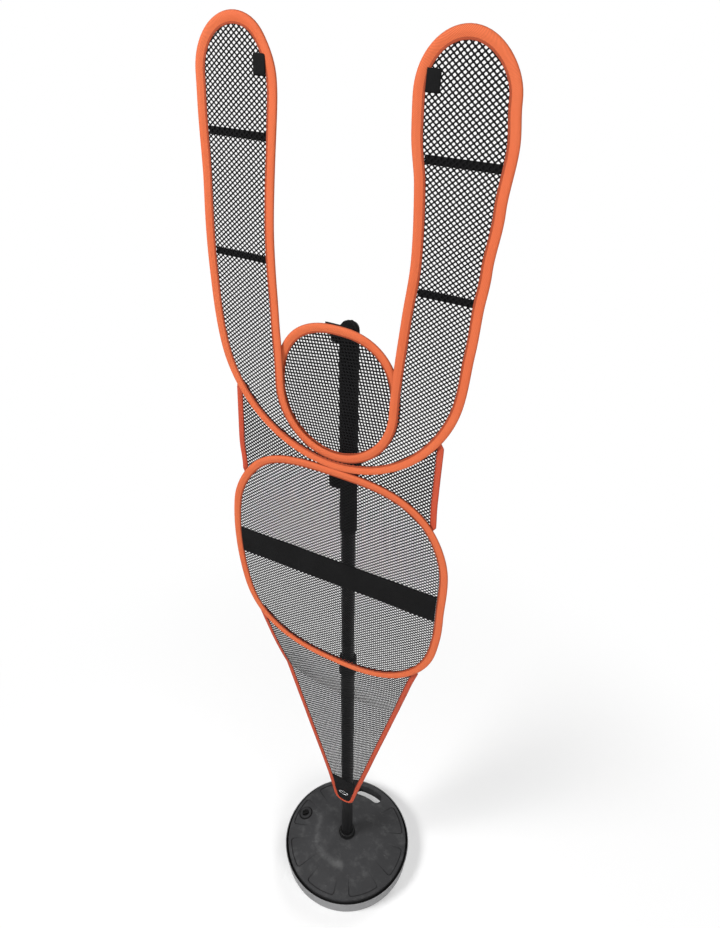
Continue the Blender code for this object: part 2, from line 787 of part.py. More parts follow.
def build_sleeve(webbing):
    """The webbing sleeve over the upper tube, closed by a round hood on the tube's end cap."""
    outer, inner = sleeve_radius(), UPPER_TUBE_RADIUS + RUNNING_GAP
    inner_top = POLE_TOP + SEAT_GAP
    profile = [(0.0, inner_top + SLEEVE_WALL)]
    profile += rounded_edge(0.0, outer, inner_top + SLEEVE_WALL, HOOD_ROUND + SLEEVE_WALL, HOOD_TURNS)
    profile += [(outer, SLEEVE_BOTTOM), (inner, SLEEVE_BOTTOM)]
    profile += list(reversed(rounded_edge(0.0, inner, inner_top, HOOD_ROUND, HOOD_TURNS)))
    profile += [(0.0, inner_top)]
    return finish_object("pole_sleeve", lathe(profile, TUBE_SEGMENTS), webbing)


def rounded_edge(start, radius, top, drop, turns):
    """Points down a rounded edge of oval section, from a radius on the top to the outer radius."""
    points = []
    for turn in turns:
        angle = math.radians(turn)
        points.append((start + (radius - start) * math.sin(angle), top - drop * (1 - math.cos(angle))))
    return points


def build_anchor(webbing):
    """The web loop that holds the sleeve to the back of the torso's net."""
    half = ANCHOR_THICKNESS / 2
    wrap = sleeve_radius() + SEAT_GAP + half
    front = front_surface(ANCHOR_TOP) + NET_THICKNESS / 2 + SEAT_GAP + half
    shoulder = (ANCHOR_HALF_WIDTH - half, front + ANCHOR_BEND)
    turn = math.degrees(math.atan2(shoulder[1], shoulder[0]) + math.acos(wrap / math.hypot(*shoulder)))
    near = (ANCHOR_HALF_WIDTH - half - ANCHOR_BEND, front)
    plan = [mirror(near), near, shoulder] + arc((0.0, 0.0), wrap, turn, 180.0 - turn, 10) + [mirror(shoulder)]
    mesh_data = bmesh.new()
    loops = []
    outer, inner = offset(plan, -half), offset(plan, half)
    low, high = ANCHOR_BOTTOM, ANCHOR_TOP
    for loop, height in ((outer, low), (outer, high), (inner, high), (inner, low)):
        loops.append([mesh_data.verts.new((x, y, height)) for x, y in loop])
    bridge(mesh_data, loops, True)
    return finish_object("sleeve_anchor", mesh_data, webbing)


def build_crown_strap(webbing):
    """The strap that runs up the front of the sleeve and forward to the top of the head."""
    half = CROWN_STRAP_THICKNESS / 2
    on_sleeve = -(sleeve_radius() + SEAT_GAP + half)
    crown = HEAD_HEIGHT + HEAD_HALF_HEIGHT
    on_head = head_surface(crown) + TAPE_THICKNESS / 2 + SEAT_GAP + half
    crest = crown - TAPE_WIDTH / 2
    line = [(on_sleeve, CROWN_STRAP_BOTTOM)]
    for step in range(CROWN_STRAP_STEPS + 1):
        share = step / CROWN_STRAP_STEPS
        swing = share * share * (3 - 2 * share)
        height = CROWN_STRAP_BEND + share * (crest - CROWN_STRAP_BEND)
        line.append((on_sleeve + swing * (on_head - on_sleeve), height))
    line.append((on_head, CROWN_STRAP_TOP))
    mesh_data = bmesh.new()
    front, back = offset(line, half, False), offset(line, -half, False)
    loops = []
    for across in (-CROWN_STRAP_HALF_WIDTH, CROWN_STRAP_HALF_WIDTH):
        loops.append([mesh_data.verts.new((across, y, z)) for y, z in front + list(reversed(back))])
    bridge(mesh_data, loops, False)
    count = len(line)
    for loop in loops:
        for step in range(count - 1):
            across = 2 * count - 2 - step
            mesh_data.faces.new((loop[step], loop[step + 1], loop[across], loop[across + 1]))
    return finish_object("crown_strap", mesh_data, webbing)


# Pole

def tube(name, radius, low, high, made_of):
    """A round tube, open at both ends."""
    bore = radius - TUBE_WALL
    wall = [(radius, high), (radius, low), (bore, low), (bore, high)]
    return finish_object(name, lathe(wall, TUBE_SEGMENTS, ring_closed=True), made_of)


def socket_floor():
    """Height on which the lower tube stands in its socket."""
    return BASE_RECESS_HEIGHT + BASE_WALL


def upper_tube_top():
    """The end cap's rim sits on the tube here, below the hood's round shoulder."""
    return POLE_TOP - HOOD_ROUND - END_CAP_STEP


def build_pole(paint, plastic):
    """Two tubes, the foot ferrule, the end cap and the twist lock."""
    return [
        tube("lower_tube", LOWER_TUBE_RADIUS, socket_floor() + SEAT_GAP, LOWER_TUBE_TOP, paint),
        tube("upper_tube", UPPER_TUBE_RADIUS, LOWER_TUBE_TOP - TUBE_OVERLAP, upper_tube_top(), paint),
        build_ferrule(plastic),
        build_end_cap(plastic),
        build_collar(plastic),
    ]


def build_ferrule(plastic):
    """The round foot that rests on the middle of the lid."""
    low = BASE_CROWN_HEIGHT + SEAT_GAP
    bore = LOWER_TUBE_RADIUS + SEAT_GAP
    high = low + FERRULE_HEIGHT
    profile = [(bore, high)]
    profile += rounded_edge(bore + FERRULE_TOP_FLAT, FERRULE_RADIUS, high, FERRULE_ROUND, (0, 45, 90))
    profile += [(FERRULE_RADIUS, low), (bore, low)]
    return finish_object("foot_ferrule", lathe(profile, TUBE_SEGMENTS, ring_closed=True), plastic)


def build_end_cap(plastic):
    """The domed plug in the top of the upper tube."""
    bore = UPPER_TUBE_RADIUS - TUBE_WALL - SEAT_GAP
    rim = upper_tube_top() + SEAT_GAP
    narrowed, taper = END_CAP_TAPER
    foot = rim - END_CAP_PLUG
    profile = [(0.0, POLE_TOP)] + rounded_edge(0.0, UPPER_TUBE_RADIUS, POLE_TOP, HOOD_ROUND, HOOD_TURNS)
    profile += [(UPPER_TUBE_RADIUS, rim), (bore, rim), (bore, foot + taper), (bore - narrowed, foot)]
    profile += [(0.0, foot)]
    return finish_object("end_cap", lathe(profile, TUBE_SEGMENTS), plastic)


def build_collar(plastic):
    """The ribbed twist lock at the top of the lower tube, with a lip that closes on the upper tube."""
    low, high = LOWER_TUBE_TOP + COLLAR_LIP - COLLAR_HEIGHT, LOWER_TUBE_TOP + COLLAR_LIP
    bore = LOWER_TUBE_RADIUS + RUNNING_GAP
    lip = UPPER_TUBE_RADIUS + RUNNING_GAP
    ledge = LOWER_TUBE_TOP + SEAT_GAP
    inset, rise = COLLAR_FOOT_EDGE
    profile = [(lip, high), (lip + COLLAR_TOP_FLAT, high), (COLLAR_RADIUS, high - COLLAR_TOP_DROP)]
    profile += [(COLLAR_RADIUS, low + rise), (COLLAR_RADIUS - inset, low)]
    profile += [(bore, low), (bore, ledge), (lip, ledge)]
    collar = finish_object("lock_collar", lathe(profile, TUBE_SEGMENTS, ring_closed=True), plastic)
    ribs = bmesh.new()
    root, tip = (bore + COLLAR_RADIUS) / 2, COLLAR_RADIUS + COLLAR_RIB_HEIGHT
    size = Matrix.Diagonal((tip - root, COLLAR_RIB_WIDTH, COLLAR_RIB_LENGTH, 1.0))
    place = Matrix.Translation(((root + tip) / 2, 0.0, (low + high) / 2 - COLLAR_RIB_LOWERED))
    for rib in range(COLLAR_RIBS):
        turn = Matrix.Rotation(math.tau * (rib + 0.5) / COLLAR_RIBS, 4, "Z")
        bmesh.ops.create_cube(ribs, size=1.0, matrix=turn @ place @ size)
    add_boolean(collar, finish_object("collar_ribs", ribs, None), "UNION")
    return collar


# Base

def lid_height(radius):
    """Height of the lid's cone at a distance from the axis."""
    span = BASE_RADIUS - BASE_SEAM_LIP - BASE_EDGE_ROUND - BASE_CROWN_RADIUS
    return BASE_CROWN_HEIGHT - (radius - BASE_CROWN_RADIUS) * (BASE_CROWN_HEIGHT - BASE_RIM_HEIGHT) / span


def panel_slope():
    """Fall of a pressed panel for each metre outward."""
    span = PANEL_OUTER_RADIUS - PANEL_INNER_RADIUS
    fall = lid_height(PANEL_INNER_RADIUS) - lid_height(PANEL_OUTER_RADIUS)
    return (fall + PANEL_FADE + PANEL_DEPTH) / span


def build_base(plastic):
    """The pan, with the side wall and the pole's socket, and the lid."""
    through = prism(slot_outline(0.0), -CUT_PAST, BASE_CROWN_HEIGHT + CUT_PAST)
    slot = finish_object("slot_cutter", through, None)
    return [build_pan(plastic, slot), build_lid(plastic, slot)]


def build_pan(plastic, slot):
    """Floor, side wall and socket in one moulding, standing on a ring."""
    wall_top = BASE_SEAM_HEIGHT
    step_radius = BASE_RADIUS - BASE_SEAM_LIP - SEAT_GAP
    inner = step_radius - BASE_WALL
    socket_top = BASE_CROWN_HEIGHT - SOCKET_TOP_SETBACK
    corner = BASE_EDGE_ROUND * 0.3
    socket = LOWER_TUBE_RADIUS + RUNNING_GAP
    post = socket + SOCKET_WALL
    floor = socket_floor()
    profile = [
        (0.0, BASE_RECESS_HEIGHT),
        (BASE_RECESS_RADIUS - BASE_RECESS_HEIGHT, BASE_RECESS_HEIGHT),
        (BASE_RECESS_RADIUS, 0.0),
        (BASE_FLOOR_RADIUS - BASE_EDGE_ROUND, 0.0),
        (BASE_FLOOR_RADIUS - corner, corner),
        (BASE_FLOOR_RADIUS, BASE_EDGE_ROUND),
        (BASE_RADIUS, wall_top - BASE_SEAM_GROOVE),
        (step_radius, wall_top - BASE_SEAM_GROOVE),
        (step_radius, wall_top),
        (inner, wall_top),
        (BASE_FLOOR_RADIUS - BASE_WALL * 2, BASE_EDGE_ROUND + BASE_WALL),
        (BASE_FLOOR_RADIUS - BASE_EDGE_ROUND - BASE_WALL, floor),
        (post, floor),
        (post, socket_top),
        (socket, socket_top),
        (socket, floor),
        (0.0, floor),
    ]
    pan = finish_object("base_pan", lathe(profile, BASE_SEGMENTS), plastic)
    within_wall = BASE_FLOOR_RADIUS - SLOT_WALL_TRIM
    walls = alcove("alcove_walls", BASE_WALL, within_wall, floor - BASE_WALL / 2, ALCOVE_TOP + BASE_WALL)
    space = alcove("alcove_cutter", 0.0, BASE_RADIUS + CUT_PAST, -CUT_PAST, ALCOVE_TOP)
    add_boolean(pan, walls, "UNION")
    add_boolean(pan, space, "DIFFERENCE")
    add_boolean(pan, slot, "DIFFERENCE")
    return pan


def alcove(name, grow, outer, low, high):
    """The hand hold's space below the slot, made larger on its inner sides."""
    half = ALCOVE_HALF_ANGLE + math.degrees(grow / ALCOVE_INNER_RADIUS)
    outline = arc((0.0, 0.0), outer, 90.0 - half, 90.0 + half, ALCOVE_SEGMENTS)
    outline += arc((0.0, 0.0), ALCOVE_INNER_RADIUS - grow, 90.0 + half, 90.0 - half, ALCOVE_SEGMENTS)
    return finish_object(name, prism(outline, low, high), None)


def build_lid(plastic, slot):
    """The domed lid, with its pressed panels, carrying slot and fill neck."""
    seat = BASE_SEAM_HEIGHT + SEAT_GAP
    rim = BASE_RADIUS - BASE_SEAM_LIP + LID_OVERHANG
    inner = BASE_RADIUS - BASE_SEAM_LIP - BASE_WALL - SEAT_GAP
    hole = LOWER_TUBE_RADIUS + RUNNING_GAP + SOCKET_WALL + SEAT_GAP
    edge = rim - BASE_EDGE_ROUND
    bend = inner - BASE_WALL
    profile = [(hole, BASE_CROWN_HEIGHT), (BASE_CROWN_RADIUS, BASE_CROWN_HEIGHT)]
    profile += rounded_edge(edge, rim, lid_height(edge), LID_EDGE_DROP, (0, 40, 90))
    profile += [
        (rim, seat),
        (inner, seat),
        (inner, lid_height(inner) - 2 * BASE_WALL),
        (bend, lid_height(bend) - BASE_WALL),
        (BASE_CROWN_RADIUS, BASE_CROWN_HEIGHT - BASE_WALL),
        (hole, BASE_CROWN_HEIGHT - BASE_WALL),
    ]
    lid = finish_object("base_lid", lathe(profile, BASE_SEGMENTS, ring_closed=True), plastic)
    add_boolean(lid, slot_well(), "UNION")
    add_boolean(lid, neck_tube(), "UNION")
    add_boolean(lid, pressed_panels(), "DIFFERENCE")
    add_boolean(lid, slot, "DIFFERENCE")
    add_boolean(lid, neck_cutter(), "DIFFERENCE")
    return lid


def arc(centre, radius, start, end, steps):
    """Points on an arc in plan, with both its ends."""
    angles = [math.radians(start + (end - start) * step / steps) for step in range(steps + 1)]
    return [(centre[0] + radius * math.cos(angle), centre[1] + radius * math.sin(angle)) for angle in angles]


def slot_outline(grow):
    """Plan of the carrying slot, a bent slot with round ends, made larger on every side."""
    middle = (SLOT_INNER_RADIUS + SLOT_OUTER_RADIUS) / 2
    half = (SLOT_OUTER_RADIUS - SLOT_INNER_RADIUS) / 2
    swing = SLOT_HALF_ANGLE - math.degrees(half / middle)
    low, high = 90.0 - swing, 90.0 + swing
    right, left = [arc((0.0, 0.0), middle, angle, angle, 1)[0] for angle in (low, high)]
    outline = arc((0.0, 0.0), middle + half + grow, low, high, 4)
    outline += arc(left, half + grow, high, high + 180.0, 6)[1:-1]
    outline += arc((0.0, 0.0), middle - half - grow, high, low, 4)
    outline += arc(right, half + grow, low + 180.0, low + 360.0, 6)[1:-1]
    return outline


def slot_well():
    """The wall round the slot, from the lid down to the alcove's roof."""
    low = ALCOVE_TOP + BASE_WALL + SEAT_GAP
    mesh_data = bmesh.new()
    loops = []
    inner = -SLOT_WALL_TRIM
    for grow, on_top in ((SLOT_WALL, False), (SLOT_WALL, True), (inner, True), (inner, False)):
        loop = []
        for x, y in slot_outline(grow):
            height = lid_height(math.hypot(x, y)) - BASE_WALL / 2 if on_top else low
            loop.append(mesh_data.verts.new((x, y, height)))
        loops.append(loop)
    bridge(mesh_data, loops, True)
    return finish_object("slot_well", mesh_data, None)


def pressed_panels():
    """Wedges that press a shallow panel into each eighth of the lid, apart from the slot's."""
    mesh_data = bmesh.new()
    inner, outer = PANEL_INNER_RADIUS, PANEL_OUTER_RADIUS
    high = lid_height(inner) + CUT_PAST
    profile = [
        (inner, lid_height(inner) + PANEL_FADE),
        (inner, high),
        (outer, high),
        (outer, lid_height(outer) - PANEL_DEPTH),
    ]
    for place in range(1, PANEL_COUNT):
        first = 90.0 + 360.0 * place / PANEL_COUNT - PANEL_HALF_ANGLE
        wedge = lathe(profile, PANEL_SEGMENTS, start=first, sweep=2 * PANEL_HALF_ANGLE)
        mesh = bpy.data.meshes.new("wedge")
        wedge.to_mesh(mesh)
        wedge.free()
        mesh_data.from_mesh(mesh)
        bpy.data.meshes.remove(mesh)
    return finish_object("panel_cutter", mesh_data, None)


def neck_frame():
    """Place and lean of the fill neck, square to the panel that it stands in."""
    fall = panel_slope()
    start = lid_height(PANEL_INNER_RADIUS) + PANEL_FADE
    floor = start - fall * (NECK_RADIUS_FROM_AXIS - PANEL_INNER_RADIUS)
    lean = math.atan(fall)
    return Matrix.Translation((-NECK_RADIUS_FROM_AXIS, 0.0, floor)) @ Matrix.Rotation(-lean, 4, "Y")


def neck_tube():
    """The neck below the lid."""
    outer, inner = NECK_BORE_RADIUS + NECK_WALL, NECK_BORE_RADIUS - SLOT_WALL_TRIM
    top = -(BASE_WALL + CAP_SEAT_DEPTH) / 2
    wall = [(outer, top), (outer, -NECK_DEPTH), (inner, -NECK_DEPTH), (inner, top)]
    obj = finish_object("neck_tube", lathe(wall, NECK_SEGMENTS, ring_closed=True), None)
    obj.matrix_world = neck_frame()
    return obj


def neck_cutter():
    """The neck's bore and the round seat of the cap's flange."""
    seat = CAP_FLANGE_RADIUS + CAP_SEAT_MARGIN
    foot = -NECK_DEPTH - CUT_PAST
    profile = [(0.0, CUT_PAST), (seat, CUT_PAST), (seat, -CAP_SEAT_DEPTH)]
    profile += [(NECK_BORE_RADIUS, -CAP_SEAT_DEPTH), (NECK_BORE_RADIUS, foot), (0.0, foot)]
    obj = finish_object("neck_cutter", lathe(profile, NECK_SEGMENTS), None)
    obj.matrix_world = neck_frame()
    return obj


def build_fill_cap(plastic):
    """The cap of the fill neck: a flange, a plug and a grip bar across a round recess."""
    low = -CAP_SEAT_DEPTH + SEAT_GAP
    high = low + CAP_FLANGE_HEIGHT
    plug = NECK_BORE_RADIUS - RUNNING_GAP
    well = high - CAP_RECESS_DEPTH
    profile = [
        (0.0, well),
        (CAP_RECESS_RADIUS, well),
        (CAP_RECESS_RADIUS, high),
        (CAP_FLANGE_RADIUS - CAP_FLANGE_EDGE, high),
        (CAP_FLANGE_RADIUS, high - CAP_FLANGE_EDGE),
        (CAP_FLANGE_RADIUS, low),
        (plug, low),
        (plug, low - CAP_PLUG_LENGTH + CAP_FLANGE_EDGE),
        (plug - CAP_FLANGE_EDGE, low - CAP_PLUG_LENGTH),
        (0.0, low - CAP_PLUG_LENGTH),
    ]
    cap = finish_object("fill_cap", lathe(profile, NECK_SEGMENTS), plastic)
    bar = bmesh.new()
    reach = CAP_RECESS_RADIUS + CAP_FLANGE_EDGE
    size = Matrix.Diagonal((2 * reach, CAP_BAR_WIDTH, CAP_RECESS_DEPTH, 1.0))
    middle = Matrix.Translation((0.0, 0.0, high - CAP_RECESS_DEPTH / 2 - CAP_BAR_DROP))
    turn = Matrix.Rotation(math.radians(CAP_TURNED), 4, "Z")
    bmesh.ops.create_cube(bar, size=1.0, matrix=turn @ middle @ size)
    bar_object = finish_object("cap_bar", bar, None)
    cap.matrix_world = neck_frame()
    bar_object.matrix_world = neck_frame()
    add_boolean(cap, bar_object, "UNION")
    return cap


# Assembly

def group(name, place, members):
    """An empty at a joint, which carries the pieces that move together."""
    empty = bpy.data.objects.new(name, None)
    bpy.context.scene.collection.objects.link(empty)
    empty.location = place
    for member in members:
        member.parent = empty
        member.matrix_parent_inverse = Matrix.Translation(place).inverted()
    return empty


def build():
    """Model every piece and group the ones that move together."""
    for obj in list(bpy.data.objects):
        bpy.data.objects.remove(obj, do_unlink=True)
    tape = material("binding_tape", ORANGE, 0.75)
    piping = material("panel_piping", DARK_ORANGE, 0.8)
    cloth = material("mesh_cloth", BLACK, 0.7)
    webbing = material("black_webbing", BLACK, 0.85)
    steel = material("ring_steel", (0.62, 0.62, 0.64), 0.3, 1.0)
    paint = material("pole_paint", BLACK, 0.35, 0.2)
    pole_plastic = material("pole_plastic", BLACK, 0.5)
    base_plastic = material("base_plastic", CHARCOAL, 0.6)
    cap_plastic = material("cap_plastic", (0.03, 0.03, 0.032), 0.5)

    build_base(base_plastic)
    group("fill_cap_slide", neck_frame().translation, [build_fill_cap(cap_plastic)])
    lower, upper, ferrule, end_cap, collar = build_pole(paint, pole_plastic)
    group("lower_pole", (0.0, 0.0, socket_floor()), [lower, ferrule])
    group("twist_lock", (0.0, 0.0, LOWER_TUBE_TOP), [collar])
    group("upper_pole", (0.0, 0.0, LOWER_TUBE_TOP), [upper, end_cap])
    figure = build_arms(tape, cloth, webbing) + build_head(tape, cloth) + build_torso(tape, cloth, webbing)
    figure += build_back(piping, cloth, webbing, steel)
    figure += [build_sleeve(webbing), build_anchor(webbing), build_crown_strap(webbing)]
    group("figure", (0.0, 0.0, POLE_TOP), figure)


build()
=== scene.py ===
"""Looks of the basketball defensive mannequin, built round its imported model.

Metres, +Z up.  The figure faces -Y, and the pole stands on the origin.
"""

import math

import bmesh
import bpy
import numpy as np
from mathutils import Matrix, Vector
from mathutils.geometry import intersect_line_line_2d


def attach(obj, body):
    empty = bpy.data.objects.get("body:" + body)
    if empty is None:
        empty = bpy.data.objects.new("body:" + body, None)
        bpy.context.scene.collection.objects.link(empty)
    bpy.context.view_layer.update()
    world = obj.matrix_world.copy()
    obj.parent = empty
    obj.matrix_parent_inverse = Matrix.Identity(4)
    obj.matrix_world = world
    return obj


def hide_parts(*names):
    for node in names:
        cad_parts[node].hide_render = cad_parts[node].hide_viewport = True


bl_info = {
    "name": "Basketball Defensive Mannequin",
    "version": (1, 0, 0),
    "blender": (4, 5, 0),
    "location": "View3D > Sidebar > Mannequin",
    "description": "Builds a mesh practice figure on a telescoping pole, with its filled base and a stage",
    "category": "Add Mesh",
}

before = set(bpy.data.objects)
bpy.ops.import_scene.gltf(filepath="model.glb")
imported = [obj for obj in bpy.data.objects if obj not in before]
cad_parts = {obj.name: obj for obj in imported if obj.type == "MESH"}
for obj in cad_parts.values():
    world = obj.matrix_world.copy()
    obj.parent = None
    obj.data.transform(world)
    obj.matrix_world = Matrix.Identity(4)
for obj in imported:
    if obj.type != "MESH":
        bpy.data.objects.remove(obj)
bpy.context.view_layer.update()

# Gaps between neighbouring pieces
SEAT_GAP = 0.0003
RUNNING_GAP = 0.0005

# The figure's surfaces
FRONT_AT_SHOULDER = 0.0591
FRONT_LEAN = 0.0351
ARM_BEND = 0.0505
ARM_BEND_START = 1.70
TAIL_POINT_TOP = 0.46
TAIL_BEND = 1.03
TAIL_BEND_FRONT = 0.047
TAIL_SEWN = 0.012
TAIL_DRAWN = 0.170

# Outlines of the arms, the head, the torso, the yoke and the tail
SHOULDER_HEIGHT = 1.6265
SHOULDER_KNOT = (0.150, 1.6835)
SHOULDER_HEADING = 42.0
ARMPIT_KNOT = (0.2225, 1.800)
ARMPIT_HEADING = 75.0
HAND_CENTRE = (0.1772, 2.245)
HAND_HALF_WIDTH = 0.0633
HAND_HALF_HEIGHT = 0.0718
ELBOW_KNOT = (0.1275, 2.030)
HEAD_HEIGHT = 1.768
HEAD_HALF_WIDTH = 0.114
HEAD_HALF_HEIGHT = 0.123
HEAD_CROWN_POWER = 2.4
TORSO_HALF_WIDTH = 0.2362
TORSO_CENTRE = 1.345
TORSO_DROP = 0.2632
TORSO_TOP_POWER = 3.1
TORSO_BOTTOM_POWER = 2.6
YOKE_HALF_WIDTHS = {"left": (0.2215, 0.2050), "right": (0.2015, 0.2010)}
YOKE_CORNER_RADIUS = 0.0068
TAIL_HALF_WIDTH = 0.200
TAIL_WIDTH_HEIGHT = 1.163
TAIL_TIP_HEIGHT = 0.343
TAIL_TIP_RADIUS = 0.0250
JOIN_RADIUS = 0.006
JOIN_REACH = 0.021

# How far the cloth hangs to the side of its even shape, as places of (height, shift in x)
HANG = {
    "left arm, outer": ((1.80, 0.0), (1.95, 0.005), (2.09, 0.0056), (2.21, 0.0005), (2.32, 0.0)),
    "left arm, inner": (
        (1.86, 0.001), (1.93, 0.0028), (2.04, 0.0034), (2.22, 0.0), (2.285, -0.004), (2.32, 0.0)),
    "right arm, outer": (
        (1.80, -0.003), (1.91, -0.011), (1.973, -0.012), (2.034, -0.008), (2.116, 0.0), (2.197, 0.0075),
        (2.25, 0.002), (2.32, -0.003)),
    "right arm, inner": ((1.94, 0.0), (2.03, 0.004), (2.136, 0.0052), (2.20, 0.0), (2.32, -0.003)),
    "left side": (
        (0.34, 0.0), (0.60, 0.002), (1.08, 0.004), (1.16, 0.0015), (1.25, 0.0045), (1.38, 0.0),
        (1.46, 0.001), (1.55, 0.006), (1.61, 0.0)),
    "right side": (
        (0.34, 0.0), (0.60, 0.002), (1.08, 0.004), (1.20, 0.008), (1.28, 0.005), (1.36, 0.003), (1.46, 0.006),
        (1.54, 0.003), (1.61, 0.0)),
}
MIDDLE_WIDTH = 0.10
HANG_FROM = 0.07
HANG_EASE = 0.05

# Nets: the directions from +X of each one's two sets of strands
STRAND_LEANS = (40.9, 139.1)
HEAD_LEANS = (7.4, 105.6)
TORSO_LEANS = (40.5, 145.5)
TAIL_LEANS = (48.0, 132.0)
# Width of each net's strands against the plain share: the arms are pulled wide, the back pieces less
STRAND_STRETCH = {"arm": 0.87, "head": 1.02, "torso": 0.98, "yoke": 1.03, "tail": 1.12}
HOLE_CORNER = 0.66
NET_HELD = 0.013
SLACK_DEPTH = 0.0009
SLACK_FINE_DEPTH = 0.0003

# Stitches
STITCH_SPACING = 0.0042
STITCH_LENGTH = 0.0031
STITCH_WIDTH = 0.0007
BAND_STITCH_LENGTH = 0.003
BAND_STITCH_INSET = 0.004
BAND_STITCH_END = 0.003

# Webbing and its places
BAND_CENTRE = 1.357
BAND_HEIGHT = 0.068
BAND_TILT = 0.026
STRAP_THICKNESS = 0.0015
ARM_STRAP_HEIGHTS = {"upper": 2.1685, "lower": 1.985}
ARM_STRAP_WIDTH = 0.012
HAND_TAB_HEIGHT = 2.262
HAND_TAB_SIZE = (0.020, 0.028)
SLEEVE_WALL = 0.0018
SLEEVE_BOTTOM = 1.42
HOOD_ROUND = 0.016
SLEEVE_FOLD = 0.0006
HOOD_PUCKER = 0.0006
HOOD_PUCKER_START = 1.872
SLEEVE_SEAM = 0.0009
SLEEVE_SEAM_SPREAD = 0.10
ANCHOR_BOTTOM = 1.572
ANCHOR_TOP = 1.598
ANCHOR_HALF_WIDTH = 0.012
ANCHOR_LOOP_RADIUS = 0.0245
ANCHOR_THICKNESS = 0.002
CROWN_STRAP_HALF_WIDTH = 0.025
CROWN_STRAP_BOTTOM = 1.857
CROWN_STRAP_BEND = 1.865
CROWN_STRAP_TOP = 1.900
CROWN_STRAP_THICKNESS = 0.002
LOOP_CENTRE = 0.390
LOOP_HEIGHT = 0.022
LOOP_WALL = 0.0025
RING_HALF_WIDTH = 0.014
RING_HALF_HEIGHT = 0.0065
RING_WIRE = 0.0014

# Pole
LOWER_TUBE_RADIUS = 0.01725
UPPER_TUBE_RADIUS = 0.01525
TUBE_WALL = 0.0015
LOWER_TUBE_TOP = 0.985
TUBE_OVERLAP = 0.460
POLE_TOP = 1.8892
FERRULE_RADIUS = 0.026
FERRULE_HEIGHT = 0.017
COLLAR_RADIUS = 0.0213
COLLAR_HEIGHT = 0.055
COLLAR_LIP = 0.015
COLLAR_RIBS = 24

# Base
BASE_RADIUS = 0.200
BASE_FLOOR_RADIUS = 0.195
BASE_WALL = 0.004
BASE_SEAM_HEIGHT = 0.064
BASE_RIM_HEIGHT = 0.0765
BASE_CROWN_HEIGHT = 0.106
BASE_CROWN_RADIUS = 0.030
BASE_RECESS_HEIGHT = 0.003
BASE_RECESS_RADIUS = 0.165
BASE_EDGE_ROUND = 0.008
LID_RADIUS = 0.1900
LID_EDGE_ROUND = 0.005
ALCOVE_INNER_RADIUS = 0.132
ALCOVE_HALF_ANGLE = 22.0
ALCOVE_TOP = 0.042
SOCKET_WALL = 0.0044
PANEL_INNER_RADIUS = 0.110
PANEL_OUTER_RADIUS = 0.1820
PANEL_HALF_ANGLE = 15.5
PANEL_DEPTH = 0.0036
PANEL_SLOPE_WIDTH = 0.0024
PANEL_CORNER = 0.010
SLOT_INNER_RADIUS = 0.139
SLOT_OUTER_RADIUS = 0.174
SLOT_HALF_ANGLE = 17.0
SLOT_WALL = 0.0035
NECK_RADIUS_FROM_AXIS = 0.156
NECK_LEAN = 12.92
NECK_FLOOR = 0.0816
NECK_BORE_RADIUS = 0.0145
CAP_SEAT_RADIUS = 0.0215
CAP_FLANGE_RADIUS = 0.0185
CAP_RECESS_RADIUS = 0.0115
CAP_TURNED = 40.0
CAP_LOW = -0.0017
CAP_THICKNESS = 0.0040
CAP_DEPTH = 0.0055
CAP_PLUG_DEPTH = 0.010
CAP_BAR_SIZE = (0.024, 0.005, 0.0055)
CAP_BAR_SUNK = 0.0008

# Shared by the turned and moulded pieces
SEAM_DEPTH = 0.0075
PLUG_CENTRE = 0.002
BASE_CENTRE = 0.004
MERGE_DISTANCE = 0.00002
CUT_LOW = -0.01
CUT_HIGH = 0.12
SMOOTH_ANGLE = 32.0

# Marks on the base: each pair is the distances or heights between which a mark fades in or out. The scuffs
# are wear; the crease, seam and cap marks and their colours are painted shade.
SCUFF_RING_INNER = (0.078, 0.096)
SCUFF_RING_OUTER = (0.099, 0.112)
SCUFF_TOWARDS = (-0.45, -0.89, 0.0)
SCUFF_SIDE = (0.02, 0.07)
CAP_SEAT_SHADE = (0.0218, 0.0232)
CAP_FLOOR_SHADE = (0.086, 0.088)
SEAM_RADII = (0.1966, 0.1972)
SEAM_HEIGHTS = (0.050, 0.052)
SCUFF_COLOUR = (0.17, 0.17, 0.17)
CREASE_SHADE_COLOUR = (0.006, 0.006, 0.006)
SHADE_COLOUR = (0.004, 0.004, 0.004)
SEAM_SHADE_COLOUR = (0.003, 0.003, 0.003)

# The camera, fitted to the photograph
IMAGE_WIDTH = 720
CAMERA_PLACE = (0.5086, -0.9534, 2.3982)
CAMERA_AZIMUTH = 26.91
CAMERA_PITCH = 36.80
CAMERA_ROLL = 0.95
CAMERA_FOCAL_PIXELS = 692.5
SENSOR_WIDTH = 36.0


# Sizes and colours that a user would change

class ClothProperties(bpy.types.PropertyGroup):
    """Net cloth and webbing."""

    strand_pitch: bpy.props.FloatProperty(
        name="Strand Pitch", description="Distance between neighbouring strands of the net",
        default=0.00602, min=0.004, max=0.03, unit="LENGTH")
    strand_share: bpy.props.FloatProperty(
        name="Strand Share",
        description="Width of a strand as a share of the pitch, where the net isn't stretched",
        default=0.44, min=0.1, max=0.8, subtype="FACTOR")
    net_thickness: bpy.props.FloatProperty(
        name="Net Thickness", description="Thickness of the net where its strands cross",
        default=0.0015, min=0.0005, max=0.003, unit="LENGTH")
    net_colour: bpy.props.FloatVectorProperty(
        name="Net Colour", description="Colour of the net's yarn",
        default=(0.004, 0.004, 0.0045), size=3, subtype="COLOR")
    webbing_colour: bpy.props.FloatVectorProperty(
        name="Webbing Colour", description="Colour of the straps, the band and the sleeve",
        default=(0.0052, 0.0052, 0.0056), size=3, subtype="COLOR")


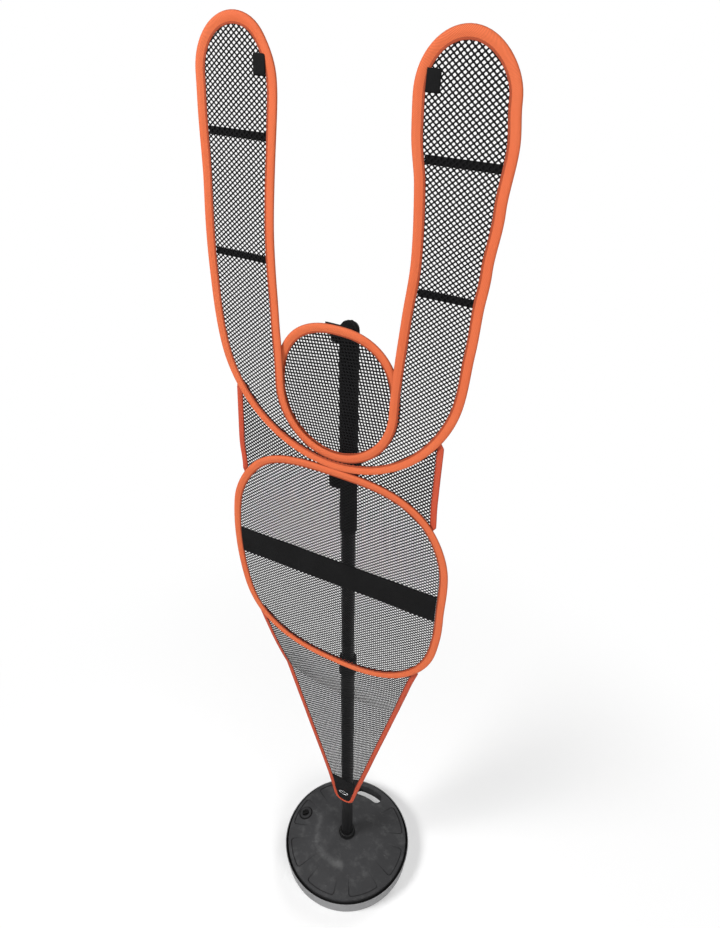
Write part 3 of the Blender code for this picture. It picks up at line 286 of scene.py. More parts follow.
class TapeProperties(bpy.types.PropertyGroup):
    """Taped edges."""

    tape_width: bpy.props.FloatProperty(
        name="Tape Width", description="Width of the folded tape on the front pieces",
        default=0.0175, min=0.01, max=0.03, unit="LENGTH")
    tape_thickness: bpy.props.FloatProperty(
        name="Tape Thickness", description="Thickness of the folded tape over its spring wire",
        default=0.006, min=0.003, max=0.01, unit="LENGTH")
    piping_width: bpy.props.FloatProperty(
        name="Piping Width", description="Width of the piping on the back panel",
        default=0.0128, min=0.005, max=0.02, unit="LENGTH")
    piping_thickness: bpy.props.FloatProperty(
        name="Piping Thickness", description="Thickness of the piping on the back panel",
        default=0.004, min=0.002, max=0.01, unit="LENGTH")
    tape_colour: bpy.props.FloatVectorProperty(
        name="Tape Colour", description="Colour of the tape",
        default=(0.77, 0.168, 0.062), size=3, subtype="COLOR")
    piping_colour: bpy.props.FloatVectorProperty(
        name="Piping Colour", description="Colour of the piping",
        default=(0.62, 0.095, 0.044), size=3, subtype="COLOR")


class BaseProperties(bpy.types.PropertyGroup):
    """Base and pole."""

    lid_colour: bpy.props.FloatVectorProperty(
        name="Lid Colour", description="Colour of the base's lid",
        default=(0.044, 0.044, 0.046), size=3, subtype="COLOR")
    # The side wall's light grey is partly painted bounce light from the floor.
    pan_colour: bpy.props.FloatVectorProperty(
        name="Pan Colour", description="Colour of the base's side wall",
        default=(0.34, 0.34, 0.345), size=3, subtype="COLOR")
    pole_colour: bpy.props.FloatVectorProperty(
        name="Pole Colour", description="Colour of the pole's paint",
        default=(0.007, 0.007, 0.0075), size=3, subtype="COLOR")
    turned_segments: bpy.props.IntProperty(
        name="Turned Segments", description="Faces round a turned piece of the pole",
        default=72, min=24, max=144)
    lid_segments: bpy.props.IntProperty(
        name="Lid Segments", description="Faces round the base", default=600, min=64, max=720)


class StageProperties(bpy.types.PropertyGroup):
    """Floor, background and lamps."""

    floor_colour: bpy.props.FloatVectorProperty(
        name="Floor Colour", description="Colour of the floor under the base",
        default=(0.80, 0.80, 0.80), size=3, subtype="COLOR")
    lamp_power: bpy.props.FloatProperty(
        name="Lamp Power", description="Power of the main soft lamp, in watts",
        default=160.0, min=1.0, max=1000.0)
    world_strength: bpy.props.FloatProperty(
        name="World Strength", description="Strength of the even light all round",
        default=0.22, min=0.0, max=2.0)


def sizes():
    """The cloth, tape, base and stage values of this scene."""
    scene = bpy.context.scene
    return scene.mannequin_cloth, scene.mannequin_tape, scene.mannequin_base, scene.mannequin_stage


# Shader tools

class Value:
    """A shader socket with a number, which takes Python's operators and adds a Math node for each."""

    def __init__(self, surface, socket):
        self.surface = surface
        self.socket = socket

    def maths(self, operation, *operands):
        return self.surface.node("ShaderNodeMath", {"operation": operation}, dict(enumerate(operands)))

    def __add__(self, other):
        return self.maths("ADD", self, other)

    def __radd__(self, other):
        return self.maths("ADD", other, self)

    def __sub__(self, other):
        return self.maths("SUBTRACT", self, other)

    def __rsub__(self, other):
        return self.maths("SUBTRACT", other, self)

    def __mul__(self, other):
        return self.maths("MULTIPLY", self, other)

    def __rmul__(self, other):
        return self.maths("MULTIPLY", other, self)

    def __truediv__(self, other):
        return self.maths("DIVIDE", self, other)

    def wave(self, pitch):
        """A smooth wave from 0 to 1 that repeats at each pitch."""
        return self.maths("SINE", self * (math.tau / pitch)) * 0.5 + 0.5

    def band(self, low, high):
        """0 below low, 1 above high, and a smooth rise between them."""
        settings = {"interpolation_type": "SMOOTHSTEP"}
        values = {"Value": self, "From Min": low, "From Max": high}
        return self.surface.node("ShaderNodeMapRange", settings, values)


class Surface:
    """A material under construction."""

    def __init__(self, name, roughness, specular=0.5):
        self.material = bpy.data.materials.new(name)
        self.material.use_nodes = True
        self.tree = self.material.node_tree
        self.shader = self.tree.nodes["Principled BSDF"]
        self.shader.inputs["Roughness"].default_value = roughness
        self.shader.inputs["Specular IOR Level"].default_value = specular

    def node(self, kind, settings=None, values=None, output=0):
        """One shader node: its settings come first, then its sockets' values and links."""
        made = self.tree.nodes.new(kind)
        for key, setting in (settings or {}).items():
            if key == "stops":
                ramp = made.color_ramp
                while len(ramp.elements) < len(setting):
                    ramp.elements.new(0.5)
                for element, (place, colour) in zip(ramp.elements, setting):
                    element.position = place
                    element.color = (*colour, 1.0)
            else:
                setattr(made, key, setting)
        for key, value in (values or {}).items():
            socket = made.inputs[key]
            if isinstance(value, Value):
                self.tree.links.new(value.socket, socket)
            elif socket.type == "RGBA":
                socket.default_value = (*value, 1.0)
            else:
                socket.default_value = value
        return Value(self, made.outputs[output])

    def place(self):
        """Object coordinates."""
        return self.node("ShaderNodeTexCoord", output="Object")

    def cloth_place(self):
        """Distances along and across the piece, from its own UV map."""
        uv = self.node("ShaderNodeUVMap", {"uv_map": "cloth"})
        return [self.node("ShaderNodeSeparateXYZ", None, {0: uv}, axis) for axis in ("X", "Y")]

    def noise(self, vector, scale, detail=3.0, roughness=0.55):
        settings = {"noise_dimensions": "3D"}
        values = {"Vector": vector, "Scale": scale, "Detail": detail, "Roughness": roughness}
        return self.node("ShaderNodeTexNoise", settings, values, "Fac")

    def stretch(self, vector, factors):
        return self.node("ShaderNodeVectorMath", {"operation": "MULTIPLY"}, {0: vector, 1: factors})

    def vector_maths(self, operation, *vectors):
        """A number made from vectors."""
        return self.node("ShaderNodeVectorMath", {"operation": operation}, dict(enumerate(vectors)), "Value")

    def flat_place(self):
        """Object coordinates without their height."""
        return self.stretch(self.place(), (1.0, 1.0, 0.0))

    def height(self):
        """Height in object coordinates."""
        return self.node("ShaderNodeSeparateXYZ", None, {0: self.place()}, "Z")

    def from_neck(self):
        """Distance from the floor of the fill neck."""
        return self.vector_maths("DISTANCE", self.place(), (-NECK_RADIUS_FROM_AXIS, 0.0, NECK_FLOOR))

    def mix(self, share, first, second):
        """A colour between two, by a share from 0 to 1."""
        made = self.tree.nodes.new("ShaderNodeMix")
        made.data_type = "RGBA"
        for key, value in ((0, share), (6, first), (7, second)):
            if isinstance(value, Value):
                self.tree.links.new(value.socket, made.inputs[key])
            else:
                made.inputs[key].default_value = value if key == 0 else (*value, 1.0)
        return Value(self, made.outputs[2])

    def link(self, name, value):
        self.tree.links.new(value.socket, self.shader.inputs[name])

    def bump(self, height, distance, strength=1.0):
        values = {"Strength": strength, "Distance": distance, "Height": height}
        self.link("Normal", self.node("ShaderNodeBump", None, values))


def shade(colour, factor):
    """A darker or lighter colour."""
    return tuple(min(1.0, part * factor) for part in colour)


# Finishes

def tape_finish(name, colour, twill_pitch, face, hem):
    """Folded polyester tape with a diagonal twill. Its sewn hem is darker and redder than its ridge, partly
    its own colour and partly painted shade, and its outer fold is darkened with painted shade.

    face is the distance over one face from the outer to the inner edge, and hem the share of it that is flat.
    """
    made = Surface(name, 0.66, 0.18)
    along, across = made.cloth_place()
    share = made.node("ShaderNodeMath", {"operation": "PINGPONG"}, {0: across, 1: face}) / face
    twill = (along + across).wave(twill_pitch)
    ribs = (along - across).wave(twill_pitch * 0.5)
    place = made.place()
    cloud = made.noise(place, 9.0, 2.0)
    fuzz = made.noise(place, 900.0, 2.0)
    tone = made.mix(twill.band(0.1, 0.9) * 0.8 + fuzz * 0.2, shade(colour, 0.60), shade(colour, 1.16))
    worn = made.mix(cloud.band(0.35, 0.7) * 0.35, tone, (colour[0] * 0.84, colour[1] * 0.66, colour[2] * 0.6))
    red_and_shade = (colour[0] * 0.40, colour[1] * 0.30, colour[2] * 0.32)
    # The hem's darker red is partly its own colour and partly painted shade.
    sewn = made.mix(share.band(1.0 - hem, 1.06 - hem) * 0.85, worn, red_and_shade)
    # Painted shade along the outer fold of the tape.
    made.link("Base Color", made.mix((1.0 - share.band(0.02, 0.12)) * 0.6, sewn, red_and_shade))
    made.link("Roughness", twill * 0.1 + 0.6)
    made.bump(twill * 0.7 + ribs * 0.2 + fuzz * 0.25, 0.0004, 0.6)
    return made.material


def yarn_finish(name, colour):
    """Black knitted yarn, with loops along the strand and a slight polyester shine."""
    made = Surface(name, 0.6, 0.12)
    place = made.place()
    loops = made.noise(place, 1300.0, 1.0)
    cloud = made.noise(place, 14.0, 2.0)
    dusty = made.mix(cloud.band(0.4, 0.75) * 0.5, shade(colour, 0.8), shade(colour, 1.7))
    made.link("Base Color", made.mix(loops.band(0.35, 0.65) * 0.6, dusty, shade(colour, 2.2)))
    made.bump(loops, 0.0003, 0.5)
    return made.material


def webbing_finish(name, colour, rib_pitch, contrast):
    """Woven webbing: close ribs across its length, and fine threads between them."""
    made = Surface(name, 0.75, 0.12)
    along, across = made.cloth_place()
    ribs = along.wave(rib_pitch)
    threads = (across + ribs * (rib_pitch * 0.25)).wave(rib_pitch * 0.6)
    place = made.place()
    cloud = made.noise(place, 22.0, 3.0)
    weave = ribs.band(0.1, 0.9) * 0.6 + threads * 0.4
    tone = made.mix(weave, shade(colour, 1.0 - contrast), shade(colour, 1.0 + contrast))
    made.link("Base Color", made.mix(cloud.band(0.4, 0.8) * 0.5, tone, shade(colour, 1.9)))
    made.link("Roughness", weave * 0.15 + 0.65)
    made.bump(weave, 0.0004, 0.7)
    return made.material


def thread_finish(name, colour):
    """Sewing thread with its twist."""
    made = Surface(name, 0.6, 0.2)
    place = made.place()
    twist = made.noise(place, 2500.0, 1.0)
    made.link("Base Color", made.mix(twist, shade(colour, 0.75), shade(colour, 1.15)))
    made.bump(twist, 0.0001, 0.5)
    return made.material


def lid_marks_and_shade(made, tone):
    """Scuffs in a ring round the pole, painted shade in the creases, and painted shade in the seat of the
    fill cap.
    """
    flat = made.flat_place()
    radius = made.vector_maths("LENGTH", flat)
    broken = made.noise(made.place(), 18.0, 5.0, 0.7)
    ring = radius.band(*SCUFF_RING_INNER) * (1.0 - radius.band(*SCUFF_RING_OUTER))
    towards = made.vector_maths("DOT_PRODUCT", flat, SCUFF_TOWARDS)
    worn = ring * towards.band(*SCUFF_SIDE) * broken.band(0.40, 0.64) * 0.38
    # Painted shade in the creases round the panels, from the crease value on each vertex.
    crease_shade = made.node("ShaderNodeAttribute", {"attribute_name": "crease"}, None, "Fac")
    crease_shaded = made.mix(crease_shade.band(0.1, 0.9) * 0.75, made.mix(worn, tone, SCUFF_COLOUR), CREASE_SHADE_COLOUR)
    # Painted shade in the seat of the fill cap.
    return made.mix(made.from_neck().band(*CAP_SEAT_SHADE), SHADE_COLOUR, crease_shaded)


def cap_shade(made, tone):
    """Painted shade in the fill cap's recess."""
    deep = 1.0 - made.from_neck().band(CAP_RECESS_RADIUS - 0.0005, CAP_RECESS_RADIUS + 0.0005)
    return made.mix(deep * (1.0 - made.height().band(*CAP_FLOOR_SHADE) * 0.5), tone, SHADE_COLOUR)


def pan_shade_and_bounce(made, tone):
    """Painted shade in the seam and within the hand hold, with the lighter pan colour kept only on the outer
    wall, where it is partly painted bounce light.
    """
    radius = made.vector_maths("LENGTH", made.flat_place())
    outside = radius.band(BASE_FLOOR_RADIUS - 0.006, BASE_FLOOR_RADIUS - 0.005)
    # Painted shade in the seam.
    seam_shade = (1.0 - radius.band(*SEAM_RADII)) * made.height().band(*SEAM_HEIGHTS)
    # Painted shade inside the outer wall, as in the hand hold: a darker copy of the lid's colour.
    inner = made.mix(outside, shade(tuple(sizes()[2].lid_colour), 0.5), tone)
    return made.mix(seam_shade, inner, SEAM_SHADE_COLOUR)


def moulded_finish(name, colour, grain, wear_colour, roughness, marks=None):
    """Blow-moulded plastic: fine grain, faint flow marks, dust, rubbed spots and the piece's own marks, which
    include painted shade and, on the pan, painted bounce light.
    """
    made = Surface(name, roughness, 0.25)
    place = made.place()
    pits = made.noise(place, 1.0 / grain, 3.0, 0.6)
    flow = made.noise(made.stretch(place, (5.0, 5.0, 14.0)), 1.4, 4.0)
    dust = made.noise(place, 34.0, 4.0, 0.65)
    scuffs = made.noise(made.stretch(place, (1.0, 4.0, 1.0)), 42.0, 5.0, 0.7)
    tone = made.mix(flow.band(0.3, 0.7), shade(colour, 0.86), shade(colour, 1.14))
    dusted = made.mix(dust.band(0.46, 0.8) * 0.40, tone, wear_colour)
    rubbed = made.mix(scuffs.band(0.62, 0.74) * 0.45, dusted, shade(wear_colour, 1.2))
    grained = made.mix(pits.band(0.3, 0.7) * 0.5 + 0.5, shade(colour, 0.6), rubbed)
    made.link("Base Color", marks(made, grained) if marks else grained)
    made.link("Roughness", dust * 0.18 + (roughness - 0.05))
    made.bump(pits * 0.7 + dust * 0.3, 0.0005, 0.6)
    return made.material


def paint_finish(name, colour):
    """Powder-coated steel: orange-peel skin and a few rubbed rings where the tubes slide."""
    made = Surface(name, 0.4, 0.3)
    place = made.place()
    peel = made.noise(place, 420.0, 2.0)
    rubs = made.noise(made.stretch(place, (60.0, 60.0, 4.0)), 1.0, 3.0, 0.6)
    dust = made.noise(place, 30.0, 3.0)
    tone = made.mix(rubs.band(0.55, 0.72) * 0.5, colour, shade(colour, 3.0))
    made.link("Base Color", made.mix(dust.band(0.5, 0.8) * 0.3, tone, shade(colour, 2.4)))
    made.link("Roughness", rubs * 0.25 + 0.26)
    made.bump(peel, 0.0002, 0.35)
    return made.material


def steel_finish(name):
    """Nickel-plated wire with fine drawing marks."""
    made = Surface(name, 0.28)
    made.shader.inputs["Metallic"].default_value = 1.0
    place = made.place()
    marks = made.noise(made.stretch(place, (1.0, 1.0, 9.0)), 300.0, 3.0)
    made.link("Base Color", made.mix(marks, (0.52, 0.52, 0.53), (0.78, 0.78, 0.79)))
    made.link("Roughness", marks * 0.25 + 0.18)
    made.bump(marks, 0.0001, 0.3)
    return made.material


FINISHES = {}


def finish(name):
    """The finish of this name, made when it is first asked for."""
    if not FINISHES:
        cloth, tape, base, _ = sizes()
        net, webbing = tuple(cloth.net_colour), tuple(cloth.webbing_colour)
        pole, lid, pan = tuple(base.pole_colour), tuple(base.lid_colour), tuple(base.pan_colour)
        FINISHES.update({
            "tape": tape_finish(
                "orange_tape", tuple(tape.tape_colour), 0.0022,
                face_length(TAPE_HALF_SECTION, tape.tape_width, tape.tape_thickness), 0.24),
            "piping": tape_finish(
                "orange_piping", tuple(tape.piping_colour), 0.0018,
                face_length(PIPING_HALF_SECTION, tape.piping_width, tape.piping_thickness), 0.20),
            "net": yarn_finish("net_yarn", net),
            "webbing": webbing_finish("black_webbing", webbing, 0.0020, 0.45),
            "band": webbing_finish("band_cloth", shade(webbing, 0.8), 0.0011, 0.25),
            "orange_thread": thread_finish("orange_thread", shade(tuple(tape.tape_colour), 0.62)),
            "black_thread": thread_finish("black_thread", shade(webbing, 1.6)),
            "lid": moulded_finish("lid_plastic", lid, 0.0011, (0.16, 0.16, 0.16), 0.62, lid_marks_and_shade),
            "pan": moulded_finish("pan_plastic", pan, 0.0013, shade(pan, 1.3), 0.6, pan_shade_and_bounce),
            "cap": moulded_finish(
                "cap_plastic", shade(lid, 0.75), 0.0008, (0.06, 0.06, 0.06), 0.5, cap_shade),
            "fitting": moulded_finish(
                "fitting_plastic", shade(pole, 0.8), 0.0007, (0.018, 0.018, 0.018), 0.5),
            "paint": paint_finish("pole_paint", pole),
            "steel": steel_finish("plated_steel"),
        })
    return FINISHES[name]


def dress(obj, made_of, body, nodes):
    """Give a finished piece its material, its body and the nodes that it stands for."""
    obj.data.materials.clear()
    obj.data.materials.append(finish(made_of))
    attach(obj, body)
    if nodes:
        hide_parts(*nodes)
    return obj


# Outlines in the figure's plane, as rows of (x, z) that run anticlockwise

def hang_at(name, heights):
    """Shift in x at each height, eased between the places of one edge."""
    places = HANG[name]
    result = np.full(len(heights), places[0][1])
    for (low, before), (high, after) in zip(places, places[1:]):
        share = np.clip((heights - low) / (high - low), 0.0, 1.0)
        result = result + (after - before) * share * share * (3 - 2 * share)
    return result


def hung_sides(points):
    """The torso's or a back piece's outline, with each side hung as the photograph shows it."""
    x, z = points[:, 0], points[:, 1]
    share = np.clip(0.5 + x / (2 * MIDDLE_WIDTH), 0.0, 1.0)
    shift = hang_at("left side", z) * (1 - share) + hang_at("right side", z) * share
    return points + np.column_stack([shift, np.zeros(len(points))])


def hung_arm(half, side):
    """Half of the arms' wire, from the outer side round the hand to the inner one, hung likewise."""
    outer = np.arange(len(half)) <= half[:, 1].argmax()
    if side == "left":
        half = half * np.array([-1.0, 1.0])
    heights = half[:, 1]
    shift = np.where(outer, hang_at(side + " arm, outer", heights), hang_at(side + " arm, inner", heights))
    shift *= np.clip((np.abs(half[:, 0]) - HANG_FROM) / HANG_EASE, 0.0, 1.0)
    return half + np.column_stack([shift, np.zeros(len(half))])


def heading(degrees):
    """A unit step at an angle from +X."""
    return np.array([math.cos(math.radians(degrees)), math.sin(math.radians(degrees))])


def curve(first, first_heading, second, second_heading, steps=40):
    """Points on a smooth curve between two knots, without its last point."""
    start, end = np.array(first), np.array(second)
    reach = np.linalg.norm(end - start) / 3
    leave, arrive = start + reach * heading(first_heading), end - reach * heading(second_heading)
    along = np.linspace(0.0, 1.0, steps, endpoint=False)[:, None]
    left = 1 - along
    leaving = left ** 3 * start + 3 * along * left ** 2 * leave
    return leaving + 3 * along ** 2 * left * arrive + along ** 3 * end


def oval(centre, half_width, half_height, start, end, steps=90, power=2.0):
    """Points on an oval from one angle to another, squarer as the power grows."""
    angle = np.radians(np.linspace(start, end, steps, endpoint=False))
    across, along = np.cos(angle), np.sin(angle)
    x = centre[0] + half_width * np.sign(across) * np.abs(across) ** (2 / power)
    z = centre[1] + half_height * np.sign(along) * np.abs(along) ** (2 / power)
    return np.column_stack([x, z])


def mirrored(points):
    """The same points on the other side of the figure, in reverse order."""
    return points[::-1] * np.array([-1.0, 1.0])


def shoulder_curve():
    """The arms' wire below the head, from its middle to the armpit."""
    return np.concatenate([
        curve((0.0, SHOULDER_HEIGHT), 0.0, SHOULDER_KNOT, SHOULDER_HEADING),
        curve(SHOULDER_KNOT, SHOULDER_HEADING, ARMPIT_KNOT, ARMPIT_HEADING),
    ])


def half_arm_path():
    """Half of the arms' wire, from its lowest point round one hand to the point under the chin."""
    hand_outer = (HAND_CENTRE[0] + HAND_HALF_WIDTH, HAND_CENTRE[1])
    hand_inner = (HAND_CENTRE[0] - HAND_HALF_WIDTH, HAND_CENTRE[1])
    temple = (HEAD_HALF_WIDTH, HEAD_HEIGHT)
    return np.concatenate([
        shoulder_curve(),
        curve(ARMPIT_KNOT, ARMPIT_HEADING, hand_outer, 90.0, 80),
        oval(HAND_CENTRE, HAND_HALF_WIDTH, HAND_HALF_HEIGHT, 0.0, 180.0),
        curve(hand_inner, 270.0, ELBOW_KNOT, 270.0),
        curve(ELBOW_KNOT, 270.0, temple, 270.0),
        oval((0.0, HEAD_HEIGHT), HEAD_HALF_WIDTH, HEAD_HALF_HEIGHT, 0.0, -90.0),
    ])


def arm_path():
    """The arms' whole wire."""
    half = half_arm_path()
    chin = np.array([[0.0, HEAD_HEIGHT - HEAD_HALF_HEIGHT]])
    return np.concatenate([hung_arm(half, "right"), chin, hung_arm(half, "left")[:0:-1]])


def arm_outline(side):
    """The outline of one arm's cloth, from the shoulder's middle to the chin."""
    arm = hung_arm(half_arm_path(), side)
    outline = np.concatenate([arm, [[0.0, HEAD_HEIGHT - HEAD_HALF_HEIGHT]]])
    return outline if side == "right" else outline[::-1]


def head_path():
    """The head's wire, whose lower half follows the arms' wire."""
    centre = (0.0, HEAD_HEIGHT)
    return np.concatenate([
        oval(centre, HEAD_HALF_WIDTH, HEAD_HALF_HEIGHT, 0.0, 180.0, 180, HEAD_CROWN_POWER),
        oval(centre, HEAD_HALF_WIDTH, HEAD_HALF_HEIGHT, 180.0, 360.0, 180),
    ])


def torso_path():
    """The torso's wire as it hangs."""
    return hung_sides(even_torso())


def even_torso():
    """The torso's wire, whose flat top meets the arms' tape."""
    tape = sizes()[1]
    rise = SHOULDER_HEIGHT - tape.tape_width - SEAT_GAP - TORSO_CENTRE
    centre = (0.0, TORSO_CENTRE)
    return np.concatenate([
        oval(centre, TORSO_HALF_WIDTH, rise, 0.0, 180.0, 400, TORSO_TOP_POWER),
        oval(centre, TORSO_HALF_WIDTH, TORSO_DROP, 180.0, 360.0, 400, TORSO_BOTTOM_POWER),
    ])


def rounded_corner(before, corner, after, radius, steps=14):
    """Points on the arc that rounds off one corner."""
    here = np.array(corner)
    back, ahead = np.array(before) - here, np.array(after) - here
    back, ahead = back / np.linalg.norm(back), ahead / np.linalg.norm(ahead)
    half = math.acos(float(back @ ahead)) / 2
    middle = (back + ahead) / np.linalg.norm(back + ahead)
    centre = here + middle * radius / math.sin(half)
    first = here + back * radius / math.tan(half) - centre
    last = here + ahead * radius / math.tan(half) - centre
    turn = math.atan2(first[0] * last[1] - first[1] * last[0], float(first @ last))
    points = []
    for step in range(steps + 1):
        angle = turn * step / steps
        across, along = math.cos(angle), math.sin(angle)
        points.append(centre + np.array([
            first[0] * across - first[1] * along, first[0] * along + first[1] * across]))
    return np.array(points)


def sharp_tip(lean):
    """Height at which the tail's edges would meet if their point weren't rounded."""
    return TAIL_TIP_HEIGHT - TAIL_TIP_RADIUS * (1 / math.sin(lean) - 1)


def side_lean():
    """Angle of the tail's edges from the upright, found by closing in on it."""
    lean = math.atan(TAIL_HALF_WIDTH / (TAIL_WIDTH_HEIGHT - TAIL_TIP_HEIGHT))
    for _ in range(30):
        lean = math.atan(TAIL_HALF_WIDTH / (TAIL_WIDTH_HEIGHT - sharp_tip(lean)))
    return lean


def rounded_join(first, second):
    """Follow one open path to where it crosses another, turn through a round corner, and follow the other."""
    for step, (start, end) in enumerate(zip(first, first[1:])):
        for other, (low, high) in enumerate(zip(second, second[1:])):
            corner = intersect_line_line_2d(start, end, low, high)
            if corner:
                corner = np.array(corner)
                lead = first[:step + 1][np.linalg.norm(first[:step + 1] - corner, axis=1) > JOIN_REACH]
                follow = second[other + 1:][np.linalg.norm(second[other + 1:] - corner, axis=1) > JOIN_REACH]
                arc_points = rounded_corner(lead[-1], corner, follow[0], JOIN_RADIUS)
                return np.concatenate([lead, arc_points, follow])
    raise ValueError("the two paths don't cross")


def torso_quarter(side):
    """The right-hand half of the torso's wire above (1) or below (-1) its widest place."""
    path = even_torso()
    return path[(path[:, 0] > 1e-4) & (side * (path[:, 1] - TORSO_CENTRE) > 1e-6)]


def half_yoke_path(side):
    """Half of the yoke's edge, drawn to +X, with the side's own widths."""
    low_width, high_width = YOKE_HALF_WIDTHS[side]
    seam = shoulder_curve()
    low = np.array([low_width, TORSO_CENTRE])
    top = (high_width, float(np.interp(high_width, seam[:, 0], seam[:, 1])))
    seam = seam[(seam[:, 0] > 0.0) & (seam[:, 0] < top[0] - 2.6 * YOKE_CORNER_RADIUS)]
    edge = [low + (top - low) * share for share in np.linspace(0.0, 0.88, 20)]
    edge = np.concatenate([edge, rounded_corner(low, top, seam[-1], YOKE_CORNER_RADIUS), seam[::-1]])
    return rounded_join(torso_quarter(1)[::-1], edge)


def yoke_path():
    """The yoke's edge: over the torso's tape, up the sides and down under the arms' wire."""
    lowest = np.array([[0.0, torso_quarter(1)[:, 1].max()]])
    halves = [half_yoke_path("right"), [[0.0, SHOULDER_HEIGHT]], mirrored(half_yoke_path("left"))]
    return hung_sides(np.concatenate([lowest, *halves]))


def tail_path():
    """The tail's edge: up from the point along its sides, and over the lower half of the torso's tape."""
    corner = (TAIL_HALF_WIDTH, TAIL_WIDTH_HEIGHT)
    point = (0.0, sharp_tip(side_lean()))
    tip = rounded_corner((-corner[0], corner[1]), point, corner, TAIL_TIP_RADIUS, 24)
    side = [place for place in tip if place[0] > 1e-6]
    for height in np.linspace(side[-1][1] + 0.01, TORSO_CENTRE, 60):
        side.append((corner[0] * (height - point[1]) / (corner[1] - point[1]), height))
    half = rounded_join(np.array(side), torso_quarter(-1)[::-1])
    top = np.array([[0.0, TORSO_CENTRE - TORSO_DROP]])
    return hung_sides(np.concatenate([[[0.0, TAIL_TIP_HEIGHT]], half, top, mirrored(half)]))


def evenly(path, spacing):
    """Points at even distances along a closed path, with the path's length."""
    looped = np.concatenate([path, path[:1]])
    marks = np.concatenate([[0.0], np.cumsum(np.linalg.norm(np.diff(looped, axis=0), axis=1))])
    count = max(8, round(marks[-1] / spacing))
    wanted = np.arange(count) * marks[-1] / count
    return np.column_stack([np.interp(wanted, marks, looped[:, axis]) for axis in (0, 1)]), marks[-1]


def left_sides(points, closed=True):
    """Unit steps to the left of a path's direction at each of its points."""
    if closed:
        ahead = np.roll(points, -1, axis=0) - np.roll(points, 1, axis=0)
    else:
        ahead = np.gradient(points, axis=0)
    ahead = ahead / np.linalg.norm(ahead, axis=1)[:, None]
    return np.column_stack([-ahead[:, 1], ahead[:, 0]])


def inside(points, outline):
    """Whether each point lies within a closed outline."""
    x, z = points[:, 0], points[:, 1]
    found = np.zeros(len(points), dtype=bool)
    following = np.roll(outline, -1, axis=0)
    for (x0, z0), (x1, z1) in zip(outline, following):
        if z0 != z1:
            crosses = (z0 > z) != (z1 > z)
            found ^= crosses & (x < x0 + (z - z0) * (x1 - x0) / (z1 - z0))
    return found


def drawn_in(points, outline):
    """Move the points that lie outside an outline to their nearest place on it."""
    moved = points.copy()
    stray = np.flatnonzero(~inside(points, outline))
    best = np.full(len(stray), np.inf)
    nearest = points[stray].copy()
    for start, end in zip(outline, np.roll(outline, -1, axis=0)):
        run = end - start
        share = np.clip((points[stray] - start) @ run / max(float(run @ run), 1e-12), 0.0, 1.0)
        place = start + share[:, None] * run
        away = np.linalg.norm(points[stray] - place, axis=1)
        closer = away < best
        best[closer] = away[closer]
        nearest[closer] = place[closer]
    moved[stray] = nearest
    return moved


def crossings(path, height):
    """The outermost places where a closed path crosses a height."""
    following = np.roll(path, -1, axis=0)
    hits = (path[:, 1] > height) != (following[:, 1] > height)
    first, second = path[hits], following[hits]
    run = second - first
    return np.sort(first[:, 0] + (height - first[:, 1]) * run[:, 0] / run[:, 1])


def away_from(points, outline):
    """Least distance from each point to a closed outline, measured to points on it."""
    marks, _ = evenly(outline, 0.008)
    least = np.full(len(points), np.inf)
    for mark in marks:
        least = np.minimum(least, np.linalg.norm(points - mark, axis=1))
    return least


def area_of(outline):
    """Area within a closed outline."""
    x, z = outline[:, 0], outline[:, 1]
    return abs(float(np.sum(x * np.roll(z, -1) - z * np.roll(x, -1)))) / 2


# Depth of the figure's surfaces

def front_surface(x, height):
    """Y of the middle of the arms and the torso."""
    rise = np.maximum(0.0, height - ARM_BEND_START)
    return -FRONT_AT_SHOULDER + FRONT_LEAN * (height - SHOULDER_HEIGHT) + ARM_BEND * rise ** 2


def head_surface(x, height):
    """Y of the middle of the head, just behind the arms."""
    return front_surface(x, height) + sizes()[1].tape_thickness + SEAT_GAP


def yoke_surface(x, height):
    """Y of the yoke, which lies behind the tapes that it is sewn to."""
    tape = sizes()[1]
    return front_surface(x, height) + tape.tape_thickness / 2 + SEAT_GAP + tape.piping_thickness / 2


def tip_surface():
    """Y of the tail's point, on the webbing loop round the pole."""
    return -(LOWER_TUBE_RADIUS + RUNNING_GAP + LOOP_WALL + SEAT_GAP + sizes()[0].net_thickness / 2)


def tail_surface(x, height):
    """Y of the tail: on the pole at its point, behind the torso's tape at its top, drawn back between."""
    share = (np.maximum(height, TAIL_POINT_TOP) - TAIL_POINT_TOP) / (TAIL_BEND - TAIL_POINT_TOP)
    free = tip_surface() - share * (TAIL_BEND_FRONT + tip_surface())
    width = np.minimum(np.abs(x) / TORSO_HALF_WIDTH, 1.0) ** TORSO_BOTTOM_POWER
    seam = TORSO_CENTRE - TORSO_DROP * (1.0 - width) ** (1 / TORSO_BOTTOM_POWER)
    drawn = np.clip((seam - height - TAIL_SEWN) / TAIL_DRAWN, 0.0, 1.0)
    return yoke_surface(x, height) * (1 - drawn) + free * drawn


def slack(x, z):
    """The slight waves of cloth that is held only at its edge."""
    rolling = np.sin(23.0 * x + 11.0 * z + 0.6) * np.sin(17.0 * z - 9.0 * x + 1.9)
    finer = np.sin(61.0 * x - 37.0 * z + 0.4) * np.sin(49.0 * z + 21.0 * x)
    return SLACK_DEPTH * rolling + SLACK_FINE_DEPTH * finer


# Mesh tools for cloth

def new_piece(name, corners, faces, uv=None):
    """A mesh object with smooth faces, and with its distances along the cloth as a UV map."""
    mesh = bpy.data.meshes.new(name)
    mesh.from_pydata(corners.tolist(), [], faces)
    if uv is not None:
        layer = mesh.uv_layers.new(name="cloth")
        layer.data.foreach_set("uv", np.asarray(uv, dtype=np.float32).ravel())
    mesh.shade_smooth()
    obj = bpy.data.objects.new(name, mesh)
    bpy.context.scene.collection.objects.link(obj)
    return obj


